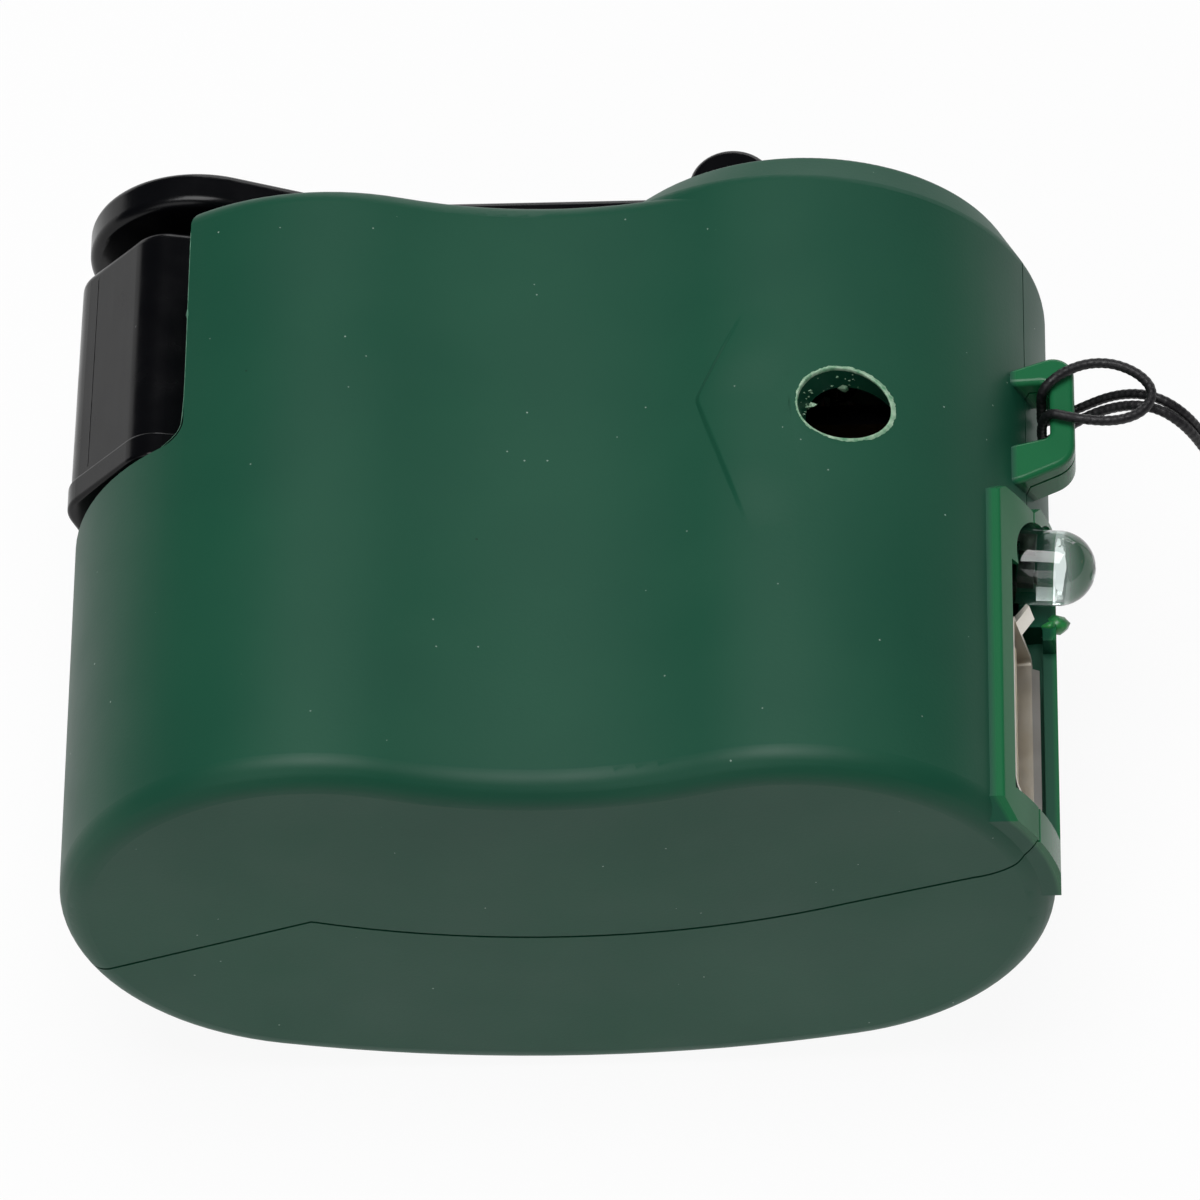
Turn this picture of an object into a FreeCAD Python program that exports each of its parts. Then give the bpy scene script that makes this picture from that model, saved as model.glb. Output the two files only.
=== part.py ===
import FreeCAD, Part
import math
import os
from FreeCAD import Vector as V

# Hand crank phone charger: a two-part case with a folding crank on its top,
# a gear train and generator inside, a USB socket and a lamp on its right side,
# and a lanyard. Millimetres.
# X runs to the right, Y from the plain end face to the crank, Z from the back
# of the case to its waved front. The origin is set at the end of this script.

# ---- case ----
CASE_LENGTH = 46.9
WALL = 2.0
LOBE_RADIUS = 17.1
LOBE_X = 15.35
LOBE_Z = 18.9
SIDE_X = LOBE_X + LOBE_RADIUS
FRONT_Z = LOBE_Z + LOBE_RADIUS
WAIST_DIP = 2.5
END_ROUND = 1.9
BACK_END_ROUND = 1.4
PLATFORM_TOP_RADIUS = 14.0
PLATFORM_HEIGHT = 2.1
PLATFORM_ROUND = 0.5
PLATFORM_FOOT_ROUND = 1.2
PLATFORM_FOOT_DROP = 0.25
SEAM_GAP = 0.04
SEAM_GROOVE_WIDTH = 0.2
SEAM_GROOVE_DEPTH = 0.5

# ---- crank ----
HUB_X = LOBE_X + 1.05
HUB_Z = LOBE_Z + 2.1
HUB_DISC_RADIUS = 10.0
HUB_DISC_THICKNESS = 1.0
HUB_CLEARANCE = 0.3
HUB_DISC_BOTTOM = CASE_LENGTH + PLATFORM_HEIGHT + HUB_CLEARANCE
HUB_DISC_TOP = HUB_DISC_BOTTOM + HUB_DISC_THICKNESS
STUB_RADIUS = 2.5
HINGE_X = HUB_X - 4.8
HINGE_Y = HUB_DISC_TOP + 2.6
EAR_RADIUS = 2.9
EAR_THICKNESS = 2.3
EAR_INSIDE = 3.7
EAR_ROUND = 0.6
HINGE_PIN_RADIUS = 1.0
ARM_CLEARANCE = 0.7
ARM_BOTTOM = HUB_DISC_TOP + ARM_CLEARANCE
ARM_THICKNESS = 2.8
ARM_END_RADIUS = 7.5
ARM_BAR_HALF = 3.4
ARM_TAPER = 22.0
ARM_KNUCKLE_RADIUS = 2.3
ARM_EDGE_ROUND = 0.7
RUNNING_FIT = 0.05

# ---- handle grip ----
GRIP_X = 7.75 - SIDE_X
GRIP_LENGTH = 18.8
GRIP_TOP = ARM_BOTTOM - 2.1
GRIP_BOTTOM = GRIP_TOP - GRIP_LENGTH
GRIP_SPIN = -11.5
GRIP_TOP_HALF = 7.16
GRIP_LOW_HALF = 7.34
GRIP_FLANGE_HALF = 7.5
GRIP_FLANGE_HEIGHT = 2.0
GRIP_CORNER = 2.6
GRIP_TOP_ROUND = 0.8
GRIP_PIN_RADIUS = 1.8
GRIP_PIN_HEAD_RADIUS = 3.2
GRIP_PIN_HEAD_HEIGHT = 1.8
GRIP_HEAD_RECESS = 3.0

# ---- pocket for the grip ----
POCKET_RADIUS = 9.1
POCKET_FLOOR = GRIP_BOTTOM - 1.9
POCKET_EDGE_X = GRIP_X + 0.6
POCKET_CORNER = 1.5
POCKET_WALL = 1.5

# ---- hole in the front ----
HOLE_X = LOBE_X + 3.85
HOLE_Y = CASE_LENGTH - 18.4
HOLE_RADIUS = 2.8
HOLE_TILT = -15.0

# ---- port side ----
RIM_STAND = 0.7
RIM_FLAT_X = SIDE_X + 0.35
RIM_LOW_Y = 0.3
RIM_HIGH_Y = 26.8
RIM_LOW_Z = 17.6
RIM_HIGH_Z = 30.0
RIM_CORNER = 2.2
RIM_FRONT_CORNER = 1.2
RIM_STEP_Y = 25.9
RIM_STEP_Z = 25.4
RIM_EDGE_ROUND = 0.3
WINDOW_DEPTH = 3.45
WINDOW_LOW_Y = 2.8
WINDOW_HIGH_Y = 18.6
WINDOW_LOW_Z = 20.5
WINDOW_HIGH_Z = 29.0
GAP_HIGH_Y = 20.5
GAP_LOW_Z = 18.8
GAP_FRONT_X = SIDE_X - 0.55
LAMP_MOUTH_RADIUS = 3.9
LAMP_MOUTH_Y = 21.6
LAMP_MOUTH_Z = 24.6
USB_WIDTH = 13.1
USB_HEIGHT = 5.7
USB_DEPTH = 13.6
USB_SHEET = 0.3
USB_X = SIDE_X - 1.85
USB_Y = 11.0
USB_Z = 24.3
USB_TILT = 12.0
TONGUE_WIDTH = 11.1
TONGUE_THICKNESS = 1.9
TONGUE_OFFSET = 0.9
TONGUE_LENGTH = 9.25
LED_RADIUS = 2.5
LED_FLANGE_RADIUS = 2.9
LED_DOME_X = SIDE_X + 0.55
LED_BODY_START = LED_DOME_X - 5.6
LED_Y = 23.7
LED_Z = 23.0
LED_HOLE_RADIUS = 2.75
LED_TILT = 5.0

# ---- lanyard eye on the case ----
EYE_OUTER_X = SIDE_X + 1.85
EYE_ROOT_X = SIDE_X - 2.95
EYE_BAR_X = SIDE_X + 0.2
EYE_LOW_Y = CASE_LENGTH - 17.6
EYE_HIGH_Y = CASE_LENGTH - 8.8
EYE_WINDOW_LOW = CASE_LENGTH - 15.7
EYE_WINDOW_HIGH = CASE_LENGTH - 11.4
EYE_LOW_Z = 24.6
EYE_HIGH_Z = 27.6
EYE_EDGE_ROUND = 0.4

# ---- gears ----
MODULE = 0.5
BACKLASH = 0.11
PRESSURE_ANGLE = 20.0
DRIVE_TEETH = 46
WHEEL_ONE_TEETH = 40
WHEEL_TWO_TEETH = 36
PINION_TEETH = 12
GEAR_WIDTH = 2.5
LAYER_TOP = CASE_LENGTH - WALL - 3.7
LAYER_STEP = 3.3
AXLE_RADIUS = 1.0
IDLER_ONE_DROP = -4.0
IDLER_TWO_DROP = -2.0
ROTOR_DROP = -3.0

# ---- gear plate ----
PLATE_BOTTOM = LAYER_TOP - 9.8
PLATE_THICKNESS = 1.5
PLATE_LEFT = -13.8
PLATE_RIGHT = HUB_X + 5.8
PLATE_CUT_X = HUB_X - 2.4
PLATE_CUT_Z = HUB_Z + 8.0

# ---- generator ----
CAN_RADIUS = 10.0
CAN_FLAT = 7.6
CAN_BOTTOM = 11.4
CAN_SHEET = 0.8
CAP_BOTTOM = 8.6
MAGNET_THICKNESS = 1.7
CORE_RADIUS = 5.9
ROTOR_SHAFT_RADIUS = 1.0
TERMINAL_OFFSET = 4.5
WIRE_RADIUS = 0.4

# ---- circuit board ----
BOARD_THICKNESS = 1.2
BOARD_LOW_Y = 3.2
BOARD_HIGH_Y = 27.4
BOARD_LEFT = -15.2
BOARD_RIGHT = -1.9
BOARD_NOTCH_X = -4.0
BOARD_NOTCH_Y = 8.4
BOARD_POSTS = ((USB_X - 11.1, 19.5), (USB_X - 4.1, 6.0))

# ---- case screws: x, y ----
SCREW_PLACES = ((8.45 - SIDE_X, 7.0), (12.5, 5.0), (-11.3, CASE_LENGTH - 5.7),
                (SIDE_X - 7.25, CASE_LENGTH - 15.9))
BOSS_RADIUS = 2.7
SCREW_RADIUS = 1.15
SCREW_CLEARANCE = 0.2
SCREW_HEAD_RADIUS = 2.0
SCREW_HEAD_HEIGHT = 1.5
SCREW_SEAT_Z = 8.0
SCREW_LENGTH = 18.0

# ---- lanyard ----
CORD_RADIUS = 0.35
COIL_TURN_RADIUS = 4.2
COIL_WIDTH = 3.1
COIL_HEIGHT = 1.5
COIL_LIFT = 0.02
COIL_ENTRY = 4.1
KNOT_RADIUS = 1.2


def line(a, b):
    return Part.LineSegment(a, b).toShape()


def arc(a, b, c):
    return Part.Arc(a, b, c).toShape()


def prism(edges, direction):
    return Part.Face(Part.Wire(edges)).extrude(direction)


def polygon_prism(points, direction):
    return Part.Face(Part.makePolygon(points + [points[0]])).extrude(direction)


def rod(radius, start, end):
    step = end - start
    return Part.makeCylinder(radius, step.Length, start, step)


def box(low, high):
    return Part.makeBox(high[0] - low[0], high[1] - low[1], high[2] - low[2], V(*low))


def rounded_wire(points, radii):
    """A closed outline of straight sides. A corner with the radius 0 stays sharp."""
    count = len(points)
    ends = []
    for number, corner in enumerate(points):
        back = (points[number - 1] - corner).normalize()
        ahead = (points[(number + 1) % count] - corner).normalize()
        half = back.getAngle(ahead) / 2
        reach = radii[number] / math.tan(half)
        inward = (back + ahead).normalize()
        tip = corner + inward * (radii[number] / math.sin(half) - radii[number])
        ends.append((corner + back * reach, tip, corner + ahead * reach))
    edges = []
    for number, (enter, tip, leave) in enumerate(ends):
        if radii[number]:
            edges.append(arc(enter, tip, leave))
        edges.append(line(leave, ends[(number + 1) % count][0]))
    return Part.Wire(edges)


def joined(shapes):
    return shapes[0].multiFuse(shapes[1:]).removeSplitter() if len(shapes) > 1 else shapes[0]


# ------------------------------------------------------------------ case form
def bean_edges(inset, y):
    """The end-face outline: two lobes, a waist between them and a wide back."""
    rise = LOBE_RADIUS - WAIST_DIP
    waist_z = LOBE_Z + rise
    waist = (LOBE_X ** 2 + rise ** 2 - LOBE_RADIUS ** 2) / (2 * (LOBE_RADIUS - rise))
    back = (LOBE_X ** 2 + LOBE_Z ** 2 - LOBE_RADIUS ** 2) / (2 * (LOBE_Z - LOBE_RADIUS))
    waist_reach = waist + LOBE_RADIUS
    lobe = LOBE_RADIUS - inset
    top_x = LOBE_X - lobe * LOBE_X / waist_reach
    top_z = LOBE_Z + lobe * (rise + waist) / waist_reach
    back_reach = back - LOBE_RADIUS
    low_x = LOBE_X + lobe * LOBE_X / back_reach
    low_z = LOBE_Z - lobe * (back - LOBE_Z) / back_reach
    side = LOBE_X + lobe
    return [
        arc(V(-top_x, y, top_z), V(0, y, waist_z - inset), V(top_x, y, top_z)),
        arc(V(top_x, y, top_z), V(side, y, LOBE_Z), V(low_x, y, low_z)),
        arc(V(low_x, y, low_z), V(0, y, inset), V(-low_x, y, low_z)),
        arc(V(-low_x, y, low_z), V(-side, y, LOBE_Z), V(-top_x, y, top_z)),
    ]


def bean(inset, low_y, high_y):
    return prism(bean_edges(inset, low_y), V(0, high_y - low_y, 0))


def outer_form():
    body = bean(0, 0, CASE_LENGTH)
    front, back = [], []
    for edge in body.Edges:
        box_of = edge.BoundBox
        if box_of.YLength < 0.01:
            is_low = box_of.YMin < CASE_LENGTH / 2
            (front if is_low else back).append(edge)
    body = body.makeFillet(END_ROUND, front)
    back = [e for e in body.Edges
            if e.BoundBox.YLength < 0.01 and e.BoundBox.YMin > CASE_LENGTH - 0.01]
    return body.makeFillet(BACK_END_ROUND, back)


def platform():
    """The low turret that the crank stands on. Its flank grows out of the right lobe."""
    foot_y = CASE_LENGTH - PLATFORM_FOOT_DROP
    top_y = CASE_LENGTH + PLATFORM_HEIGHT
    foot = Part.makeCircle(LOBE_RADIUS, V(LOBE_X, foot_y, LOBE_Z), V(0, 1, 0))
    top = Part.makeCircle(PLATFORM_TOP_RADIUS, V(HUB_X, top_y, HUB_Z), V(0, 1, 0))
    flank = Part.makeLoft([Part.Wire(foot), Part.Wire(top)], True, True)
    skirt = rod(LOBE_RADIUS, V(LOBE_X, CASE_LENGTH - BACK_END_ROUND - 0.6, LOBE_Z),
                V(LOBE_X, foot_y, LOBE_Z))
    turret = skirt.fuse(flank).removeSplitter()
    foot_edges = [e for e in turret.Edges
                  if abs(e.BoundBox.YMin - foot_y) < 0.01 and abs(e.BoundBox.YMax - foot_y) < 0.01]
    turret = turret.makeFillet(PLATFORM_FOOT_ROUND, foot_edges)
    rim = [e for e in turret.Edges if e.BoundBox.YMin > top_y - 0.01]
    return turret.makeFillet(PLATFORM_ROUND, rim)


def pocket(grow):
    """The space the folded grip lies in, open to the top and to the left."""
    radius = POCKET_RADIUS + grow
    floor = POCKET_FLOOR - grow
    far = CASE_LENGTH + 10
    round_part = rod(radius, V(GRIP_X, floor, HUB_Z), V(GRIP_X, far, HUB_Z))
    left = box((-45, floor, HUB_Z - radius), (GRIP_X, far, HUB_Z + radius))
    parts = [round_part, left]
    if not grow:
        corner = POCKET_CORNER
        low_x = POCKET_EDGE_X - corner
        mid = corner * math.sqrt(0.5)
        top = CASE_LENGTH
        edges = [
            line(V(-45, floor, HUB_Z), V(low_x, floor, HUB_Z)),
            arc(V(low_x, floor, HUB_Z),
                V(low_x + mid, floor + corner - mid, HUB_Z),
                V(POCKET_EDGE_X, floor + corner, HUB_Z)),
            line(V(POCKET_EDGE_X, floor + corner, HUB_Z), V(POCKET_EDGE_X, top - corner, HUB_Z)),
            arc(V(POCKET_EDGE_X, top - corner, HUB_Z),
                V(POCKET_EDGE_X + corner - mid, top - corner + mid, HUB_Z),
                V(POCKET_EDGE_X + corner, top, HUB_Z)),
            line(V(POCKET_EDGE_X + corner, top, HUB_Z), V(POCKET_EDGE_X + corner, far, HUB_Z)),
            line(V(POCKET_EDGE_X + corner, far, HUB_Z), V(-45, far, HUB_Z)),
            line(V(-45, far, HUB_Z), V(-45, floor, HUB_Z)),
        ]
        parts.append(prism(edges, V(0, 0, 20)))
    return joined(parts)


def lobe_cylinder(extra):
    return rod(LOBE_RADIUS + extra, V(LOBE_X, 0, LOBE_Z), V(LOBE_X, CASE_LENGTH, LOBE_Z))


def port_rim():
    """The raised frame round the socket and the lamp, stepped beside the lamp."""
    outline = [
        (RIM_LOW_Y, RIM_HIGH_Z - RIM_FRONT_CORNER), (RIM_LOW_Y + RIM_FRONT_CORNER, RIM_HIGH_Z),
        (RIM_STEP_Y - 0.5, RIM_HIGH_Z), (RIM_STEP_Y, RIM_HIGH_Z - 0.5),
        (RIM_STEP_Y - 0.1, RIM_STEP_Z + 1.0), (RIM_HIGH_Y, RIM_STEP_Z),
        (RIM_HIGH_Y, RIM_LOW_Z + RIM_CORNER), (RIM_HIGH_Y - RIM_CORNER, RIM_LOW_Z),
        (RIM_LOW_Y + RIM_CORNER, RIM_LOW_Z), (RIM_LOW_Y, RIM_LOW_Z + RIM_CORNER)]
    root_x = LOBE_X + 4.65
    plate = polygon_prism([V(root_x, y, z) for y, z in outline], V(RIM_FLAT_X - root_x, 0, 0))
    rim = plate.common(lobe_cylinder(RIM_STAND)).cut(lobe_cylinder(-WALL + 0.4))
    ridge = []
    for edge in rim.Edges:
        corners = edge.Vertexes
        reach = [math.hypot(v.X - LOBE_X, v.Z - LOBE_Z) for v in corners]
        if min(reach) > LOBE_RADIUS + RIM_STAND - 0.05 and min(v.Z for v in corners) > RIM_HIGH_Z - 0.01:
            ridge.append(edge)
    return rim.makeFillet(RIM_EDGE_ROUND, ridge)


def usb_frame(shape):
    """Turns a shape built along +X at the origin into the socket's place."""
    shape = shape.copy()
    shape.rotate(V(0, 0, 0), V(0, 1, 0), -USB_TILT)
    shape.translate(V(USB_X, USB_Y, USB_Z))
    return shape


def led_frame(shape):
    shape = shape.copy()
    shape.rotate(V(LED_DOME_X, LED_Y, LED_Z), V(0, 0, 1), -LED_TILT)
    return shape


def port_window():
    clear = 0.35
    usb = usb_frame(box(
        (-USB_DEPTH, -USB_WIDTH / 2 - clear, -USB_HEIGHT / 2 - clear),
        (12, USB_WIDTH / 2 + clear, USB_HEIGHT / 2 + clear)))
    back_x = SIDE_X - WINDOW_DEPTH
    window = box((back_x, WINDOW_LOW_Y, WINDOW_LOW_Z), (SIDE_X + 8, WINDOW_HIGH_Y, WINDOW_HIGH_Z))
    gap = box((back_x, WINDOW_LOW_Y, GAP_LOW_Z), (GAP_FRONT_X, GAP_HIGH_Y, WINDOW_HIGH_Z))
    mouth = rod(LAMP_MOUTH_RADIUS, V(back_x, LAMP_MOUTH_Y, LAMP_MOUTH_Z),
                V(SIDE_X + 8, LAMP_MOUTH_Y, LAMP_MOUTH_Z))
    lamp = led_frame(rod(LED_HOLE_RADIUS, V(LED_DOME_X - 9, LED_Y, LED_Z),
                         V(LED_DOME_X + 7, LED_Y, LED_Z)))
    return joined([usb, window, gap, mouth, lamp])


def lanyard_eye():
    """The eye on the right side for the lanyard, with rounded outer corners and edges."""
    root, outer, low = EYE_ROOT_X, EYE_OUTER_X, EYE_LOW_Z
    outline = rounded_wire([
        V(root, EYE_LOW_Y - 2.08, low), V(root + 1.5, EYE_LOW_Y - 1.55, low),
        V(outer, EYE_LOW_Y, low), V(outer, EYE_HIGH_Y, low),
        V(root, EYE_HIGH_Y - 1.73, low)], [0, 1.0, 2.0, 1.4, 0])
    eye = Part.Face(outline).extrude(V(0, 0, EYE_HIGH_Z - low))
    below = low - 1
    window = Part.Face(rounded_wire([
        V(root - 0.5, EYE_WINDOW_LOW - 0.9, below), V(EYE_BAR_X, EYE_WINDOW_LOW, below),
        V(EYE_BAR_X, EYE_WINDOW_HIGH, below), V(root - 0.5, EYE_WINDOW_HIGH - 0.2, below),
    ], [0, 0.6, 0.6, 0])).extrude(V(0, 0, 6))
    eye = eye.cut(window)
    front = [e for e in eye.Edges
             if e.BoundBox.ZMin > EYE_HIGH_Z - 0.01 and e.BoundBox.XMax > root + 0.2]
    return eye.makeFillet(EYE_EDGE_ROUND, front)


def hole_rod(radius):
    """The drilled hole's space. The drill went in at a slant, from the left."""
    tilt = math.radians(HOLE_TILT)
    direction = V(math.sin(tilt), 0, math.cos(tilt))
    middle = V(HOLE_X, HOLE_Y, FRONT_Z - 0.45)
    return rod(radius, middle - direction * 6.5, middle + direction * 4)


def seam_edges(shift, y):
    """The line the two halves meet along, from the left side to the right."""
    def at(x, z):
        return V(x, y, z + shift)
    steep_x, steep_z = SIDE_X - 5.35, LOBE_Z + 3.7
    side_x = SIDE_X - 1.15
    return [
        line(at(-60, 1.52), at(-16.0, 18.7)),
        arc(at(-16.0, 18.7), at(2.5, 16.35), at(19.0, 19.8)),
        line(at(19.0, 19.8), at(steep_x, steep_z)),
        arc(at(steep_x, steep_z), at(side_x - 1.4, 24.1), at(side_x, 26.4)),
        line(at(side_x, 26.4), at(60, 26.4)),
    ]


def half_space(shift, top):
    edges = seam_edges(shift, -10)
    far = 80 if top else -40
    right, left = V(60, -10, 26.4 + shift), V(-60, -10, 1.52 + shift)
    corners = [V(60, -10, far), V(-60, -10, far)]
    edges += [line(right, corners[0]), line(corners[0], corners[1]), line(corners[1], left)]
    return prism(edges, V(0, CASE_LENGTH + 30, 0))


def case_with_fittings():
    outer = outer_form().fuse(platform()).removeSplitter()
    inner = bean(WALL, WALL, CASE_LENGTH - WALL)
    tub = pocket(POCKET_WALL).common(bean(0.3, POCKET_FLOOR - POCKET_WALL, CASE_LENGTH - 1.0))
    case = outer.cut(inner).fuse(tub).cut(pocket(0))
    case = case.fuse([port_rim(), lanyard_eye()])
    for x, y in SCREW_PLACES:
        boss = rod(BOSS_RADIUS, V(x, y, 0), V(x, y, 40)).common(
            bean(WALL / 2, 0.5, CASE_LENGTH - 0.5))
        case = case.fuse(boss)
    under_board = box((BOARD_LEFT - 5, -20, -40), (5, 40, BOARD_TOP - BOARD_THICKNESS))
    for x, y in BOARD_POSTS:
        post = rod(1.3, V(x, y, 0), V(x, y, 40)).common(bean(WALL / 2, 0, CASE_LENGTH))
        case = case.fuse(post.common(usb_frame(under_board)))
    for low_y in (PLATE_BOTTOM - 1.4, PLATE_BOTTOM + PLATE_THICKNESS + 0.1):
        rib = box((-10, low_y, 1.0), (-4, low_y + 1.3, 4.6))
        case = case.fuse(rib.common(bean(WALL / 2, 0, CASE_LENGTH)))
    case = case.cut([port_window(), hole_rod(HOLE_RADIUS)])
    case = case.cut(rod(STUB_RADIUS + 1.3, V(HUB_X, 40, HUB_Z), V(HUB_X, 60, HUB_Z)))
    return case.removeSplitter()


def case_halves():
    case = case_with_fittings()
    deep = bean(SEAM_GROOVE_DEPTH, SEAM_GROOVE_DEPTH, CASE_LENGTH - SEAM_GROOVE_DEPTH)
    core = case.common(deep)
    halves = []
    for top in (True, False):
        sign = 1 if top else -1
        skin = case.common(half_space(sign * SEAM_GROOVE_WIDTH / 2, top))
        lip = core.common(half_space(sign * SEAM_GAP / 2, top))
        halves.append(skin.fuse(lip))
    front, rear = halves
    for x, y in SCREW_PLACES:
        pilot = rod(SCREW_RADIUS + RUNNING_FIT, V(x, y, SCREW_SEAT_Z),
                    V(x, y, SCREW_SEAT_Z + SCREW_LENGTH + 1))
        shank = rod(SCREW_RADIUS + SCREW_CLEARANCE, V(x, y, 0), V(x, y, 40))
        recess = rod(SCREW_HEAD_RADIUS + SCREW_CLEARANCE, V(x, y, -5), V(x, y, SCREW_SEAT_Z))
        front = front.cut(pilot)
        rear = rear.cut([shank, recess])
    return front, rear


def case_screws():
    screws = []
    for x, y in SCREW_PLACES:
        seat = V(x, y, SCREW_SEAT_Z)
        head = rod(SCREW_HEAD_RADIUS, seat - V(0, 0, SCREW_HEAD_HEIGHT), seat)
        shank = rod(SCREW_RADIUS, seat, seat + V(0, 0, SCREW_LENGTH))
        slot = box((x - 1.3, y - 0.25, SCREW_SEAT_Z - SCREW_HEAD_HEIGHT - 0.1),
                   (x + 1.3, y + 0.25, SCREW_SEAT_Z - SCREW_HEAD_HEIGHT + 0.7))
        cross = slot.copy()
        cross.rotate(seat, V(0, 0, 1), 90)
        screws.append(head.fuse(shank).cut([slot, cross]).removeSplitter())
    return Part.makeCompound(screws)


# ------------------------------------------------------------------ crank
def crank_hub():
    """The disc with two hinge ears, and the stub that turns the drive gear."""
    disc = rod(HUB_DISC_RADIUS, V(HUB_X, HUB_DISC_BOTTOM, HUB_Z), V(HUB_X, HUB_DISC_TOP, HUB_Z))
    rim = [e for e in disc.Edges if e.BoundBox.YMin > HUB_DISC_TOP - 0.01]
    disc = disc.makeFillet(0.4, rim)
    stub = rod(STUB_RADIUS, V(HUB_X, LAYER_TOP - 0.2, HUB_Z), V(HUB_X, HUB_DISC_BOTTOM, HUB_Z))
    pieces = [disc, stub]
    for sign in (-1, 1):
        z = HUB_Z + (EAR_INSIDE if sign > 0 else -EAR_INSIDE - EAR_THICKNESS)
        left, right = HINGE_X - EAR_RADIUS, HINGE_X + EAR_RADIUS
        foot = HUB_DISC_TOP - 0.4
        ear = prism([
            line(V(left, HINGE_Y, z), V(left, foot, z)),
            line(V(left, foot, z), V(right, foot, z)),
            line(V(right, foot, z), V(right, HINGE_Y, z)),
            arc(V(right, HINGE_Y, z), V(HINGE_X, HINGE_Y + EAR_RADIUS, z), V(left, HINGE_Y, z)),
        ], V(0, 0, EAR_THICKNESS))
        outside = z + (EAR_THICKNESS if sign > 0 else 0)
        rim = [e for e in ear.Edges
               if abs(e.BoundBox.Center.z - outside) < 0.01 and e.BoundBox.ZLength < 0.01
               and e.BoundBox.YMax > foot + 0.1]
        pieces.append(ear.makeFillet(EAR_ROUND, rim))
    hub = joined(pieces)
    hole = rod(HINGE_PIN_RADIUS + 0.02, V(HINGE_X, HINGE_Y, 0), V(HINGE_X, HINGE_Y, 50))
    screw = rod(1.0 + RUNNING_FIT, V(HUB_X, LAYER_TOP - 1, HUB_Z), V(HUB_X, LAYER_TOP + 6, HUB_Z))
    return hub.cut([hole, screw])


def hinge_pin():
    reach = EAR_INSIDE + EAR_THICKNESS
    return rod(HINGE_PIN_RADIUS, V(HINGE_X, HINGE_Y, HUB_Z - reach + 0.15),
               V(HINGE_X, HINGE_Y, HUB_Z + reach - 0.15))


def arm_outline(y):
    """A round end that tapers to a narrow bar, seen along Y."""
    slope = math.radians(ARM_TAPER)
    lean_x = GRIP_X + ARM_END_RADIUS * math.sin(slope)
    lean_z = ARM_END_RADIUS * math.cos(slope)
    neck_x = lean_x + (lean_z - ARM_BAR_HALF) / math.tan(slope)
    blend = 4.0
    start_x, start_z = neck_x - blend * math.cos(slope), ARM_BAR_HALF + blend * math.sin(slope)
    middle_x = neck_x - blend * 0.25 * (math.cos(slope) - 1)
    middle_z = ARM_BAR_HALF + blend * 0.25 * math.sin(slope) * 0.5

    def up(x, z):
        return V(x, y, HUB_Z + z)

    def down(x, z):
        return V(x, y, HUB_Z - z)
    right = HINGE_X
    return [
        arc(down(lean_x, lean_z), V(GRIP_X - ARM_END_RADIUS, y, HUB_Z), up(lean_x, lean_z)),
        line(up(lean_x, lean_z), up(start_x, start_z)),
        arc(up(start_x, start_z), up(middle_x, middle_z), up(neck_x + blend, ARM_BAR_HALF)),
        line(up(neck_x + blend, ARM_BAR_HALF), up(right, ARM_BAR_HALF)),
        line(up(right, ARM_BAR_HALF), down(right, ARM_BAR_HALF)),
        line(down(right, ARM_BAR_HALF), down(neck_x + blend, ARM_BAR_HALF)),
        arc(down(neck_x + blend, ARM_BAR_HALF), down(middle_x, middle_z), down(start_x, start_z)),
        line(down(start_x, start_z), down(lean_x, lean_z)),
    ]


def crank_arm():
    plate = prism(arm_outline(ARM_BOTTOM), V(0, ARM_THICKNESS, 0))
    rims = [e for e in plate.Edges if e.BoundBox.YLength < 0.01 and e.BoundBox.XLength > 0.5]
    plate = plate.makeFillet(ARM_EDGE_ROUND, rims)
    plate = plate.cut(box((HINGE_X, 40, 0), (60, 60, 60)))
    barrel = rod(ARM_KNUCKLE_RADIUS, V(HINGE_X, HINGE_Y, HUB_Z - ARM_BAR_HALF),
                 V(HINGE_X, HINGE_Y, HUB_Z + ARM_BAR_HALF))
    boss = rod(3.0, V(GRIP_X, GRIP_TOP + 0.3, HUB_Z), V(GRIP_X, ARM_BOTTOM + 0.2, HUB_Z))
    arm = joined([plate, barrel, boss])
    hinge = rod(HINGE_PIN_RADIUS + RUNNING_FIT, V(HINGE_X, HINGE_Y, 0), V(HINGE_X, HINGE_Y, 50))
    tapped = rod(GRIP_PIN_RADIUS - 0.6, V(GRIP_X, GRIP_TOP - 1, HUB_Z),
                 V(GRIP_X, ARM_BOTTOM + 1.5, HUB_Z))
    return arm.cut([hinge, tapped])


def grip_outline(half, y):
    """The grip's outline across its axis: a hexagon with soft corners."""
    reach = half / math.cos(math.radians(30))
    points = []
    for number in range(6):
        angle = math.radians(GRIP_SPIN + 30 + 60 * number)
        points.append(V(GRIP_X - reach * math.sin(angle), y, HUB_Z + reach * math.cos(angle)))
    return rounded_wire(points, [GRIP_CORNER] * 6)


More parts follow.
